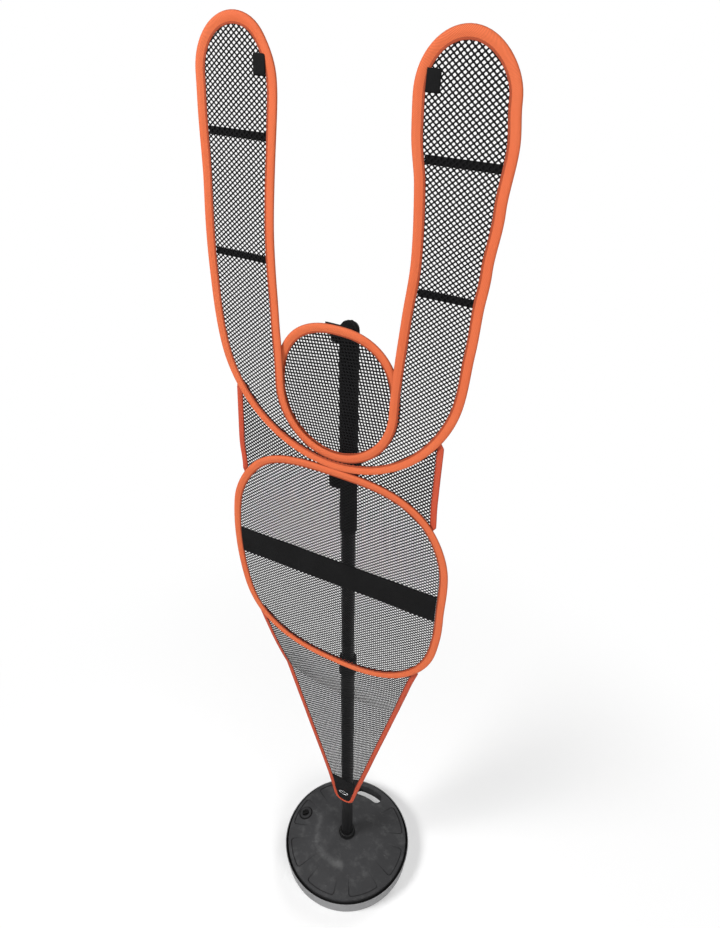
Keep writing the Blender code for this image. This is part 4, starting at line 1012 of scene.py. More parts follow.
def skin(name, grid, along, across, closed):
    """A closed skin over grid[section][step]: sections wrap round, steps wrap or end in flat caps."""
    sections, steps = grid.shape[:2]
    last = steps if closed else steps - 1
    s, n = (part.ravel() for part in np.meshgrid(np.arange(sections), np.arange(last), indexing="ij"))
    corners = grid.reshape(-1, 3)
    pairs = ((s, n), (s, n + 1), (s + 1, n + 1), (s + 1, n))
    faces = np.column_stack([(a % sections) * steps + b % steps for a, b in pairs])
    uv = np.stack([np.column_stack([along[b], across[a]]) for a, b in pairs], axis=1)
    middle = corners.mean(axis=0)
    p = corners[faces] - middle
    volume = sum(
        np.einsum("ij,ij->i", p[:, 0], np.cross(p[:, k], p[:, k + 1])).sum() for k in (1, 2)
    )
    caps = [] if closed else [np.arange(sections) * steps, (np.arange(sections) * steps + steps - 1)[::-1]]
    if volume < 0:
        faces, uv = faces[:, ::-1], uv[:, ::-1]
        caps = [cap[::-1] for cap in caps]
    uv = uv.reshape(-1, 2)
    for cap in caps:
        flat = np.column_stack([np.full(sections, along[cap[0] % steps]), across[cap // steps]])
        uv = np.concatenate([uv, flat])
    return new_piece(name, corners, faces.tolist() + [cap.tolist() for cap in caps], uv)


def round_marks(loop):
    """Running distances round a closed loop of points, with the last one back at the start."""
    looped = np.concatenate([loop, loop[:1]])
    return np.concatenate([[0.0], np.cumsum(np.linalg.norm(np.diff(looped, axis=0), axis=1))])


# Section of a folded tape: bulging over the spring wire, then flat and sewn, from its outer to its inner edge
TAPE_HALF_SECTION = (
    (-0.50, 0.00), (-0.485, 0.34), (-0.44, 0.62), (-0.36, 0.86), (-0.26, 0.98), (-0.14, 1.00), (-0.02, 0.90),
    (0.09, 0.70), (0.18, 0.50), (0.255, 0.39), (0.30, 0.28), (0.345, 0.36), (0.41, 0.36), (0.47, 0.26),
    (0.50, 0.00),
)
PIPING_HALF_SECTION = (
    (-0.50, 0.00), (-0.46, 0.52), (-0.36, 0.86), (-0.22, 1.00), (-0.06, 0.94), (0.08, 0.74), (0.18, 0.50),
    (0.25, 0.44), (0.29, 0.34), (0.34, 0.44), (0.42, 0.42), (0.48, 0.28), (0.50, 0.00),
)


def face_length(half, width, thickness):
    """Distance over one face of a tape, from its outer to its inner edge."""
    flat = np.array([(across * width, out * thickness / 2) for across, out in half])
    return float(np.linalg.norm(np.diff(flat, axis=0), axis=1).sum())


def full_section(half):
    """Both faces of a section, given its front from one edge to the other."""
    front = [(across, -out / 2) for across, out in half]
    back = [(across, out / 2) for across, out in half[-2:0:-1]]
    return front + back


def taped_edge(name, path, surface, width, thickness, half):
    """A folded tape along a closed wire."""
    points, length = evenly(path, 0.006)
    sides = left_sides(points)
    marks = np.arange(len(points) + 1) * length / len(points)
    sway = 1.0 + 0.02 * np.sin(marks[:-1] * 41.0) * np.sin(marks[:-1] * 13.0 + 1.0)
    puff = 1.0 + 0.05 * np.sin(marks[:-1] * 57.0 + 0.7) * np.sin(marks[:-1] * 23.0)
    lanes = []
    section = full_section(half)
    for across, out in section:
        lane = points + sides * (across * width * sway)[:, None]
        depth = surface(lane[:, 0], lane[:, 1]) + out * thickness * puff
        lanes.append(np.column_stack([lane[:, 0], depth, lane[:, 1]]))
    flat = np.array([(across * width, out * thickness) for across, out in section])
    return skin(name, np.array(lanes), marks, round_marks(flat), True)


def stitch_row(name, places, headings, outward, length, width):
    """A row of sewn stitches: small closed beads at these places, laid along their headings."""
    shape = np.array([
        (-0.5, 0, 0), (-0.25, 0.5, 0), (-0.25, 0, 0.45), (-0.25, -0.5, 0), (-0.25, 0, -0.45),
        (0.25, 0.5, 0), (0.25, 0, 0.45), (0.25, -0.5, 0), (0.25, 0, -0.45), (0.5, 0, 0),
    ])
    skins = [(0, 1, 2), (0, 2, 3), (0, 3, 4), (0, 4, 1), (9, 6, 5), (9, 7, 6), (9, 8, 7), (9, 5, 8)]
    skins += [(1, 5, 6, 2), (2, 6, 7, 3), (3, 7, 8, 4), (4, 8, 5, 1)]
    across = np.cross(outward, headings)
    corners = (
        places[:, None, :]
        + headings[:, None, :] * (shape[None, :, 0:1] * length)
        + across[:, None, :] * (shape[None, :, 1:2] * width)
        + outward[:, None, :] * (shape[None, :, 2:3] * width)
    ).reshape(-1, 3)
    starts = range(0, len(corners), len(shape))
    faces = [tuple(corner + start for corner in face) for start in starts for face in skins]
    return new_piece(name, corners, faces)


def edge_stitches(name, path, surface, width, thickness, across, lift, made_of, body):
    """Stitches on both faces of a tape, along the crease near its inner edge."""
    points, _ = evenly(path, STITCH_SPACING)
    sides = left_sides(points)
    ahead = np.column_stack([sides[:, 1], -sides[:, 0]])
    lane = points + sides * (across * width)
    rows = []
    for face in (-1.0, 1.0):
        depth = surface(lane[:, 0], lane[:, 1]) + face * lift * thickness / 2
        places = np.column_stack([lane[:, 0], depth, lane[:, 1]])
        outward = np.tile([0.0, face, 0.0], (len(points), 1))
        rows.append((places, np.column_stack([ahead[:, 0], np.zeros(len(points)), ahead[:, 1]]), outward))
    places, headings, outward = (np.concatenate(parts) for parts in zip(*rows))
    obj = stitch_row(name, places, headings, outward, STITCH_LENGTH, STITCH_WIDTH)
    return dress(obj, made_of, body, ())


def woven_net(name, outline, surface, leans):
    """Open cloth: two sets of strands that cross, with an eight-sided hole in each cell of the lattice."""
    cloth = sizes()[0]
    first, second = [cloth.strand_pitch * heading(lean) for lean in leans]
    basis = np.column_stack([first, second])
    box = outline @ np.linalg.inv(basis).T
    low, high = np.floor(box.min(axis=0)).astype(int) - 1, np.ceil(box.max(axis=0)).astype(int) + 1
    i, j = np.meshgrid(np.arange(low[0], high[0] + 1), np.arange(low[1], high[1] + 1), indexing="ij")
    nodes = np.stack([i, j], axis=-1).reshape(-1, 2) @ basis.T
    held = inside(nodes, outline).reshape(i.shape)
    kept = held[:-1, :-1] | held[1:, :-1] | held[1:, 1:] | held[:-1, 1:]
    a, b = np.nonzero(kept)
    across = i.shape[1]
    near, far = a * across + b, (a + 1) * across + b
    cell = np.column_stack([near, far, far + 1, near + 1])
    used, cell = np.unique(cell, return_inverse=True)
    cell = cell.reshape(-1, 4)
    nodes = drawn_in(nodes[used], outline)
    reach = (1.0 - cloth.strand_share * STRAND_STRETCH[name.split("_")[0]]) / 2
    cut = reach * HOLE_CORNER
    rim = np.array([
        (-cut, -reach), (cut, -reach), (reach, -cut), (reach, cut),
        (cut, reach), (-cut, reach), (-reach, cut), (-reach, -cut),
    ])
    centres = (np.column_stack([i[a, b], j[a, b]]) + 0.5) @ basis.T
    holes = drawn_in((centres[:, None, :] + (rim @ basis.T)[None, :, :]).reshape(-1, 2), outline)
    count = len(nodes)
    depth, hole_depth = [
        surface(points[:, 0], points[:, 1]) + slack(points[:, 0], points[:, 1]) * np.clip(
            (away_from(points, outline) - NET_HELD) / NET_HELD, 0.0, 1.0)
        for points in (nodes, holes)
    ]
    half = cloth.net_thickness / 2
    corners = np.concatenate([
        np.column_stack([nodes[:, 0], depth - half, nodes[:, 1]]),
        np.column_stack([nodes[:, 0], depth + half, nodes[:, 1]]),
        np.column_stack([holes[:, 0], hole_depth, holes[:, 1]]),
    ])
    hole = 2 * count + np.arange(len(cell))[:, None] * 8 + np.arange(8)[None, :]
    faces = []
    for side in range(4):
        after = (side + 1) % 4
        quad = np.column_stack([cell[:, side], cell[:, after], hole[:, 2 * side + 1], hole[:, 2 * side]])
        corner = np.column_stack([cell[:, after], hole[:, (2 * side + 2) % 8], hole[:, 2 * side + 1]])
        lifted = np.array([count, count, 0, 0])
        faces += quad.tolist() + (quad + lifted)[:, ::-1].tolist()
        faces += corner.tolist() + (corner + np.array([count, 0, 0]))[:, ::-1].tolist()
    padded = np.pad(kept, 1)
    for side, (da, db) in enumerate(((0, -1), (1, 0), (0, 1), (-1, 0))):
        bare = ~padded[a + 1 + da, b + 1 + db]
        start, end = cell[bare, side], cell[bare, (side + 1) % 4]
        faces += np.column_stack([end, start, start + count, end + count]).tolist()
    return new_piece(name, corners, faces)


def net_piece(name, outline, surface, leans, node):
    """A net with its material, on the figure's body."""
    obj = woven_net(name, outline, surface, leans)
    dress(obj, "net", "figure", (node,))
    span = outline.max(axis=0) - outline.min(axis=0)
    area_of(outline)
    return obj


def cloth_panel(name, path, low, high, surface, lift, thickness, rows, columns, inset=0.0):
    """A plain panel between two heights, as wide as the outline there less an inset, with rounded hems."""
    levels = np.linspace(low, high, rows)
    spans = np.array([crossings(path, level)[[0, -1]] for level in levels]) + np.array([inset, -inset])
    share = np.linspace(0.0, 1.0, columns)
    hung = np.minimum(1.0, 6.0 * share * (1.0 - share))
    hem = np.minimum(1.0, 0.35 + 0.65 * np.minimum(np.arange(rows), np.arange(rows)[::-1]))
    loops = []
    for face in (-1.0, 1.0):
        order = range(rows) if face < 0 else reversed(range(rows))
        for row in order:
            x = spans[row, 0] + share * (spans[row, 1] - spans[row, 0])
            z = np.full(columns, levels[row])
            y = surface(x, z) + hung * slack(x, z) + lift + face * hem[row] * thickness / 2
            loops.append(np.column_stack([x, y, z]))
    grid = np.array(loops)
    width = float(np.mean(spans[:, 1] - spans[:, 0]))
    return skin(name, grid, share * width, round_marks(grid[:, columns // 2]), False)


# Operators

class MANNEQUIN_OT_bindings(bpy.types.Operator):
    """Sew the orange tape over the wires of the arms, the head and the torso"""

    bl_idname = "mannequin.bindings"
    bl_label = "Taped Edges"

    def execute(self, context):
        _, tape, _, _ = sizes()
        for name, path, surface in (
            ("arms", arm_path(), front_surface),
            ("head", head_path(), head_surface),
            ("torso", torso_path(), front_surface),
        ):
            obj = taped_edge(
                name + "_tape", path, surface, tape.tape_width, tape.tape_thickness, TAPE_HALF_SECTION)
            dress(obj, "tape", "figure", (name + "_binding",))
            edge_stitches(
                name + "_tape_stitches", path, surface, tape.tape_width, tape.tape_thickness,
                0.30, 0.34, "orange_thread", "figure")
        for name, path, surface in (("yoke", yoke_path(), yoke_surface), ("tail", tail_path(), tail_surface)):
            obj = taped_edge(
                name + "_piping_tape", path, surface, tape.piping_width, tape.piping_thickness,
                PIPING_HALF_SECTION)
            dress(obj, "piping", "figure", (name + "_piping",))
            edge_stitches(
                name + "_piping_stitches", path, surface, tape.piping_width, tape.piping_thickness,
                0.29, 0.42, "orange_thread", "figure")
        return {"FINISHED"}


class MANNEQUIN_OT_nets(bpy.types.Operator):
    """Hang the open nets within their taped edges"""

    bl_idname = "mannequin.nets"
    bl_label = "Nets"

    def execute(self, context):
        for side in ("right", "left"):
            net_piece(
                "arm_net_cloth_" + side, arm_outline(side), front_surface, STRAND_LEANS, "arm_net_" + side)
        tail = trimmed(tail_path(), TAIL_POINT_TOP, SHOULDER_HEIGHT)
        for name, edge, path, surface, leans in (
            ("head", "tape", head_path(), head_surface, HEAD_LEANS),
            ("torso", "tape", torso_path(), front_surface, TORSO_LEANS),
            ("yoke", "piping_tape", yoke_path(), yoke_surface, STRAND_LEANS),
            ("tail", "piping_tape", tail, tail_surface, TAIL_LEANS),
        ):
            stitches = edge.replace("_tape", "") + "_stitches"
            net_piece(name + "_net_cloth", path, surface, leans, name + "_net")
        return {"FINISHED"}


def trimmed(path, low, high):
    """The part of a closed outline between two heights."""
    kept = path
    for limit, sign in ((low, 1.0), (high, -1.0)):
        result = []
        for first, second in zip(kept, np.roll(kept, -1, axis=0)):
            first_in, second_in = sign * (first[1] - limit) >= 0, sign * (second[1] - limit) >= 0
            if first_in:
                result.append(first)
            if first_in != second_in:
                share = (limit - first[1]) / (second[1] - first[1])
                result.append(first + share * (second - first))
        kept = np.array(result)
    return kept


class MANNEQUIN_OT_straps(bpy.types.Operator):
    """Sew on the arm straps, the hand tabs, the torso's band and the black point"""

    bl_idname = "mannequin.straps"
    bl_label = "Straps and Band"

    def execute(self, context):
        cloth, tape, _, _ = sizes()
        on_net = cloth.net_thickness / 2 + SEAT_GAP + STRAP_THICKNESS / 2
        edge = tape.tape_width / 2 + SEAT_GAP
        for side in ("right", "left"):
            outline = arm_outline(side)
            for level, height in ARM_STRAP_HEIGHTS.items():
                low, high = height - ARM_STRAP_WIDTH / 2, height + ARM_STRAP_WIDTH / 2
                node = f"arm_strap_{level}_{side}"
                obj = cloth_panel(
                    node + "_web", outline, low, high, front_surface, on_net, STRAP_THICKNESS, 6, 40, edge)
                sew_strip(obj, node)
            tab = hand_tab(side, outline, on_net)
            sew_strip(tab, "hand_tab_" + side)
        low, high = BAND_CENTRE - BAND_HEIGHT / 2, BAND_CENTRE + BAND_HEIGHT / 2
        band = cloth_panel(
            "torso_band_cloth", torso_path(), low, high, front_surface, -on_net, STRAP_THICKNESS,
            22, 120, edge)
        hems = band_stitches(low, high, on_net)
        for vertex in [*band.data.vertices, *hems.data.vertices]:
            vertex.co.z += BAND_TILT * vertex.co.x
        sew_strip(band, "torso_band", "band")
        point = cloth_panel(
            "point_patch_cloth", tail_path(), TAIL_TIP_HEIGHT + 0.0035, TAIL_POINT_TOP, tail_surface, 0.0,
            STRAP_THICKNESS, 30, 16)
        sew_strip(point, "point_patch")
        return {"FINISHED"}


def sew_strip(obj, node, made_of="webbing"):
    """Finish a flat strip with its material, on the figure's body.
    """
    dress(obj, made_of, "figure", (node,))


def hand_tab(side, outline, on_net):
    """The short doubled web at the inside of a hand."""
    sign = 1.0 if side == "right" else -1.0
    low, high = HAND_TAB_HEIGHT - HAND_TAB_SIZE[1] / 2, HAND_TAB_HEIGHT + HAND_TAB_SIZE[1] / 2
    inner = min(abs(crossings(outline, level)).min() for level in (low, high))
    start = sign * (inner + sizes()[1].tape_width / 2 + SEAT_GAP)
    end = start + sign * HAND_TAB_SIZE[0]
    box = np.array([(start, low - 0.1), (end, low - 0.1), (end, high + 0.1), (start, high + 0.1)])
    return cloth_panel(
        f"hand_tab_{side}_web", box, low, high, front_surface, -on_net, STRAP_THICKNESS, 10, 10)


def band_stitches(low, high, on_net):
    """Two rows of black thread along the band's hems."""
    rows = []
    face = on_net + STRAP_THICKNESS / 2
    for level in (low + BAND_STITCH_INSET, high - BAND_STITCH_INSET):
        left, right = crossings(torso_path(), level)[[0, -1]]
        half = sizes()[1].tape_width / 2
        x = np.arange(left + half + BAND_STITCH_END, right - half - BAND_STITCH_END, STITCH_SPACING)
        z = np.full(len(x), level)
        hung = np.minimum(1.0, 6.0 * (x - left) * (right - x) / (right - left) ** 2)
        rows.append(np.column_stack([x, front_surface(x, z) + hung * slack(x, z) - face, z]))
    places = np.concatenate(rows)
    headings = np.tile([1.0, 0.0, 0.0], (len(places), 1))
    outward = np.tile([0.0, -1.0, 0.0], (len(places), 1))
    obj = stitch_row("torso_band_stitches", places, headings, outward, BAND_STITCH_LENGTH, STITCH_WIDTH)
    return dress(obj, "black_thread", "figure", ())


class MANNEQUIN_OT_sleeve(bpy.types.Operator):
    """Make the pole sleeve with its hood, its web to the torso, and the strap to the head"""

    bl_idname = "mannequin.sleeve"
    bl_label = "Pole Sleeve"

    def execute(self, context):
        outer = UPPER_TUBE_RADIUS + RUNNING_GAP + SLEEVE_WALL
        inner = UPPER_TUBE_RADIUS + RUNNING_GAP
        top = POLE_TOP + SEAT_GAP
        turns = np.linspace(4.0, 90.0, 12)
        profile = [(outer * math.sin(a), top + SLEEVE_WALL - (HOOD_ROUND + SLEEVE_WALL) * (1 - math.cos(a)))
                   for a in np.radians(turns)]
        straight = [(outer, z) for z in np.arange(profile[-1][1] - 0.006, SLEEVE_BOTTOM + 0.003, -0.006)]
        hem = [(outer + 0.0005, SLEEVE_BOTTOM + 0.0015), (outer, SLEEVE_BOTTOM), (inner, SLEEVE_BOTTOM)]
        lining = [(inner * math.sin(a), top - HOOD_ROUND * (1 - math.cos(a)))
                  for a in np.radians(turns[::-1])]
        rings = np.array(profile + straight + hem + lining)
        turn = np.linspace(0.0, math.tau, 72, endpoint=False)
        wall = np.concatenate([np.ones(len(profile + straight + hem) - 1), np.zeros(len(lining) + 1)])
        grid = np.empty((len(turn), len(rings), 3))
        for index, angle in enumerate(turn):
            fold = SLEEVE_FOLD * np.sin(3 * angle + rings[:, 1] * 30.0) * np.sin(rings[:, 1] * 47.0 + 1.3)
            pucker = HOOD_PUCKER * math.sin(9 * angle) * np.clip(
                (rings[:, 1] - HOOD_PUCKER_START) / 0.01, 0.0, 1.0)
            seam = SLEEVE_SEAM * math.exp(-((angle - math.pi / 2) / SLEEVE_SEAM_SPREAD) ** 2)
            radius = rings[:, 0] + wall * (np.abs(fold) + pucker + seam) * np.minimum(1.0, rings[:, 0] / 0.01)
            grid[index] = np.column_stack([radius * math.cos(angle), radius * math.sin(angle), rings[:, 1]])
        marks = np.concatenate([[0.0], np.cumsum(np.linalg.norm(np.diff(rings, axis=0), axis=1))])
        sleeve = skin("pole_sleeve_web", grid, marks, np.append(turn, math.tau) * outer, False)
        dress(sleeve, "webbing", "figure", ("pole_sleeve",))
        self.anchor()
        self.crown_strap(outer)
        self.pole_loop()
        return {"FINISHED"}

    def ribbon(self, name, plan, height_low, height_high, thickness, closed, along_axis):
        """A web whose middle line runs through plan points, as wide as the two heights are apart."""
        plan = np.array(plan)
        sides = left_sides(plan, closed)
        steps = np.linalg.norm(np.diff(np.concatenate([plan, plan[:1]]), axis=0), axis=1)
        marks = np.concatenate([[0.0], np.cumsum(steps)])
        rows = 8
        levels = np.linspace(height_low, height_high, rows)
        hem = np.minimum(1.0, 0.4 + 0.6 * np.minimum(np.arange(rows), np.arange(rows)[::-1]))
        lanes = []
        for face in (-1.0, 1.0):
            order = range(rows) if face < 0 else reversed(range(rows))
            for row in order:
                lane = plan + sides * (face * hem[row] * thickness / 2)
                level = np.full(len(plan), levels[row])
                columns = [lane[:, 0], lane[:, 1]]
                columns.insert(2 if along_axis == "z" else 0, level)
                lanes.append(np.column_stack(columns))
        grid = np.array(lanes)
        return skin(name, grid, marks, round_marks(grid[:, 0]), closed)

    def anchor(self):
        """The wide web that goes round the sleeve and spreads on the back of the torso's net."""
        half = ANCHOR_THICKNESS / 2
        front = float(front_surface(0.0, ANCHOR_TOP)) + sizes()[0].net_thickness / 2 + 2 * SEAT_GAP + half
        wrap = ANCHOR_LOOP_RADIUS
        shoulder = (ANCHOR_HALF_WIDTH - half, front + 2 * ANCHOR_THICKNESS)
        turn = math.degrees(math.atan2(shoulder[1], shoulder[0]) + math.acos(wrap / math.hypot(*shoulder)))
        start, end = 4 * half - ANCHOR_HALF_WIDTH, ANCHOR_HALF_WIDTH - 4 * half
        plan = [(x, front) for x in np.linspace(start, end, 12)]
        bend = [(shoulder[0] - half / 2, front + half), shoulder]
        round_back = arc((0.0, 0.0), wrap, turn, 180.0 - turn, 30)
        tail = [
            tuple(shoulder[k] + (round_back[0][k] - shoulder[k]) * share for k in (0, 1))
            for share in (0.25, 0.5, 0.75)]
        other = [(-x, y) for x, y in reversed(bend + tail)]
        obj = self.ribbon("sleeve_anchor_web", plan + bend + tail + round_back + other,
                          ANCHOR_BOTTOM, ANCHOR_TOP, ANCHOR_THICKNESS, True, "z")
        sew_strip(obj, "sleeve_anchor")

    def crown_strap(self, sleeve_radius):
        """The strap that runs up the front of the sleeve and forward to the top of the head."""
        half = CROWN_STRAP_THICKNESS / 2
        on_sleeve = -(sleeve_radius + 0.0012 + SEAT_GAP + half)
        crown = HEAD_HEIGHT + HEAD_HALF_HEIGHT
        tape = sizes()[1]
        on_head = float(head_surface(0.0, crown)) + tape.tape_thickness / 2 + SEAT_GAP + half
        crest = crown - tape.tape_width / 2
        line = [(on_sleeve, z) for z in np.linspace(CROWN_STRAP_BOTTOM, CROWN_STRAP_BEND, 10)[:-1]]
        for share in np.linspace(0.0, 1.0, 14):
            swing = share * share * (3 - 2 * share)
            rise = CROWN_STRAP_BEND + share * (crest - CROWN_STRAP_BEND)
            line.append((on_sleeve + swing * (on_head - on_sleeve), rise))
        for share in (0.25, 0.5, 0.75, 1.0):
            line.append((on_head - 0.0006 * math.sin(share * 3.0), crest + (CROWN_STRAP_TOP - crest) * share))
        obj = self.ribbon("crown_strap_web", line, -CROWN_STRAP_HALF_WIDTH, CROWN_STRAP_HALF_WIDTH,
                          CROWN_STRAP_THICKNESS, False, "x")
        sew_strip(obj, "crown_strap")

    def pole_loop(self):
        """The loop at the tail's point, round the lower tube."""
        radius = LOWER_TUBE_RADIUS + RUNNING_GAP + LOOP_WALL / 2
        turns = np.linspace(0, math.tau, 60, endpoint=False)
        plan = [(radius * math.cos(a), radius * math.sin(a)) for a in turns]
        obj = self.ribbon("pole_loop_web", plan, LOOP_CENTRE - LOOP_HEIGHT / 2, LOOP_CENTRE + LOOP_HEIGHT / 2,
                          LOOP_WALL, True, "z")
        sew_strip(obj, "pole_loop")


# Modelling by hand, for the turned and moulded pieces

def start_piece():
    """Leave nothing selected, so that an operator acts only on the new primitive."""
    if bpy.context.object and bpy.context.object.mode != "OBJECT":
        bpy.ops.object.mode_set(mode="OBJECT")
    bpy.ops.object.select_all(action="DESELECT")


def active(name):
    """Name the new primitive and put its place into its mesh."""
    obj = bpy.context.object
    obj.name = obj.data.name = name
    bpy.ops.object.transform_apply(location=True, rotation=True, scale=True)
    return obj


def turned(name, profile, segments, capped=False):
    """Turn a profile of (radius, height): a circle is extruded and resized from ring to ring.

    A capped piece starts and ends on the axis; any other one closes on its first ring.
    """
    start_piece()
    (radius, height), fill = profile[0], "TRIFAN" if capped else "NOTHING"
    bpy.ops.mesh.primitive_circle_add(
        vertices=segments, radius=radius, location=(0.0, 0.0, height), fill_type=fill)
    obj = active(name)
    bpy.ops.object.mode_set(mode="EDIT")
    bpy.ops.mesh.select_mode(type="EDGE")
    if capped:
        bpy.ops.mesh.select_all(action="DESELECT")
        bpy.ops.mesh.select_non_manifold()
    else:
        bpy.ops.mesh.select_all(action="SELECT")
    rings = profile[1:] if capped else profile[1:] + profile[:1]
    for next_radius, next_height in rings:
        bpy.ops.mesh.extrude_region_move(TRANSFORM_OT_translate={"value": (0.0, 0.0, next_height - height)})
        scale = next_radius / radius
        bpy.ops.transform.resize(value=(scale, scale, 1.0), center_override=(0.0, 0.0, next_height))
        radius, height = next_radius, next_height
    if capped:
        bpy.ops.mesh.edge_face_add()
        bpy.ops.mesh.poke()
    bpy.ops.mesh.select_all(action="SELECT")
    bpy.ops.mesh.remove_doubles(threshold=MERGE_DISTANCE)
    bpy.ops.mesh.normals_make_consistent(inside=False)
    bpy.ops.object.mode_set(mode="OBJECT")
    bpy.ops.object.shade_smooth_by_angle(angle=math.radians(SMOOTH_ANGLE))
    return obj


def quarter(start, end, steps=5, upright_first=False):
    """Points on a rounded edge that leaves its start level and arrives upright, or the other way round."""
    points = []
    for angle in np.linspace(0.0, math.pi / 2, steps + 1):
        across, along = math.sin(angle), 1 - math.cos(angle)
        if upright_first:
            across, along = along, across
        points.append((start[0] + (end[0] - start[0]) * across, start[1] + (end[1] - start[1]) * along))
    return points


def raised(name, outline, low, high):
    """A plate of any plan: a filled circle whose corners move to the outline, then extruded upwards."""
    start_piece()
    bpy.ops.mesh.primitive_circle_add(vertices=len(outline), radius=1.0, fill_type="NGON")
    obj = active(name)
    for vertex, (x, y) in zip(obj.data.vertices, outline):
        vertex.co = (x, y, low)
    bpy.ops.object.mode_set(mode="EDIT")
    bpy.ops.mesh.select_all(action="SELECT")
    bpy.ops.mesh.extrude_region_move(TRANSFORM_OT_translate={"value": (0.0, 0.0, high - low)})
    bpy.ops.mesh.select_all(action="SELECT")
    bpy.ops.mesh.normals_make_consistent(inside=False)
    bpy.ops.object.mode_set(mode="OBJECT")
    return obj


def combine(obj, other, operation):
    """Join another shape to a piece or cut it away, and delete the other one."""
    step = obj.modifiers.new(operation.title(), "BOOLEAN")
    step.operation = operation
    step.solver = "EXACT"
    step.object = other
    start_piece()
    obj.select_set(True)
    bpy.context.view_layer.objects.active = obj
    bpy.ops.object.modifier_apply(modifier=step.name)
    bpy.data.objects.remove(other, do_unlink=True)


def smooth_again(obj, degrees=SMOOTH_ANGLE):
    """Smooth a piece's round faces after a cut and keep its edges sharp."""
    start_piece()
    obj.select_set(True)
    bpy.context.view_layer.objects.active = obj
    bpy.ops.object.shade_smooth_by_angle(angle=math.radians(degrees))


class MANNEQUIN_OT_pole(bpy.types.Operator):
    """Turn the two tubes, the foot ferrule, the end cap and the twist lock"""

    bl_idname = "mannequin.pole"
    bl_label = "Pole"

    def execute(self, context):
        segments = sizes()[2].turned_segments
        floor = BASE_RECESS_HEIGHT + BASE_WALL
        tube_top = POLE_TOP - HOOD_ROUND - 0.002
        for name, radius, low, high, body in (
            ("lower_tube", LOWER_TUBE_RADIUS, floor + SEAT_GAP, LOWER_TUBE_TOP, "lower_pole"),
            ("upper_tube", UPPER_TUBE_RADIUS, LOWER_TUBE_TOP - TUBE_OVERLAP, tube_top, "upper_pole"),
        ):
            bore = radius - TUBE_WALL
            profile = quarter((radius - 0.0006, high), (radius, high - 0.0006), 3)
            profile += [(radius, z) for z in np.linspace(high - 0.02, low + 0.02, 9)]
            profile += [(radius, low + 0.0004), (radius - 0.0004, low), (bore, low), (bore, high)]
            obj = turned(name + "_steel", profile, segments)
            dress(obj, "paint", body, (name,))
        self.ferrule(segments)
        self.end_cap(segments, tube_top)
        self.collar(segments)
        return {"FINISHED"}

    def ferrule(self, segments):
        low = BASE_CROWN_HEIGHT + SEAT_GAP
        high = low + FERRULE_HEIGHT
        bore = LOWER_TUBE_RADIUS + SEAT_GAP
        profile = [(bore, high - 0.0005), (bore + 0.0005, high)]
        profile += quarter((bore + 0.003, high), (FERRULE_RADIUS - 0.0008, high - 0.0085), 7)
        profile += [(FERRULE_RADIUS - 0.0008, low + 0.0032), (FERRULE_RADIUS, low + 0.0026)]
        profile += [(FERRULE_RADIUS, low + 0.0004), (FERRULE_RADIUS - 0.0004, low), (bore, low)]
        ring = turned("foot_ferrule_ring", profile, segments)
        dress(ring, "fitting", "lower_pole", ("foot_ferrule",))

    def end_cap(self, segments, tube_top):
        bore = UPPER_TUBE_RADIUS - TUBE_WALL - SEAT_GAP
        rim = tube_top + SEAT_GAP
        profile = quarter((PLUG_CENTRE, POLE_TOP), (UPPER_TUBE_RADIUS, POLE_TOP - HOOD_ROUND), 10)
        profile += [(UPPER_TUBE_RADIUS, rim), (bore, rim), (bore, rim - 0.018), (bore - 0.002, rim - 0.022)]
        profile += [(PLUG_CENTRE, rim - 0.022)]
        plug = turned("end_cap_plug", profile, segments, True)
        dress(plug, "fitting", "upper_pole", ("end_cap",))

    def collar(self, segments):
        """The twist lock, whose grip ribs are raised out of its wall."""
        low, high = LOWER_TUBE_TOP + COLLAR_LIP - COLLAR_HEIGHT, LOWER_TUBE_TOP + COLLAR_LIP
        bore, lip = LOWER_TUBE_RADIUS + RUNNING_GAP, UPPER_TUBE_RADIUS + RUNNING_GAP
        ledge = LOWER_TUBE_TOP + SEAT_GAP
        grip_low, grip_high = low + 0.010, high - 0.012
        profile = [(lip, high - 0.0006), (lip + 0.0006, high)]
        profile += quarter((lip + 0.003, high), (COLLAR_RADIUS, high - 0.006), 6)
        profile += [(COLLAR_RADIUS, grip_high + 0.0015), (COLLAR_RADIUS, grip_high)]
        profile += [(COLLAR_RADIUS, grip_low), (COLLAR_RADIUS, grip_low - 0.0015)]
        profile += [(COLLAR_RADIUS, low + 0.005), (COLLAR_RADIUS + 0.0006, low + 0.0045)]
        profile += [(COLLAR_RADIUS + 0.0006, low + 0.0015), (COLLAR_RADIUS - 0.0015, low)]
        profile += [(bore, low), (bore, ledge), (lip, ledge)]
        obj = turned("lock_collar_grip", profile, 4 * COLLAR_RIBS)
        for face in obj.data.polygons:
            angle = math.degrees(math.atan2(face.center.y, face.center.x)) % (360.0 / COLLAR_RIBS)
            outer = math.hypot(face.center.x, face.center.y) > COLLAR_RADIUS - 0.0005
            face.select = outer and grip_low < face.center.z < grip_high and angle < 180.0 / COLLAR_RIBS
        bpy.ops.object.mode_set(mode="EDIT")
        bpy.ops.mesh.select_mode(type="FACE")
        bpy.ops.mesh.extrude_region_shrink_fatten(TRANSFORM_OT_shrink_fatten={"value": -0.0009})
        bpy.ops.object.mode_set(mode="OBJECT")
        edge = obj.modifiers.new("Edges", "BEVEL")
        edge.width = 0.0003
        edge.segments = 2
        edge.limit_method = "ANGLE"
        edge.angle_limit = math.radians(40.0)
        bpy.ops.object.modifier_apply(modifier=edge.name)
        smooth_again(obj, 40.0)
        dress(obj, "fitting", "twist_lock", ("lock_collar",))


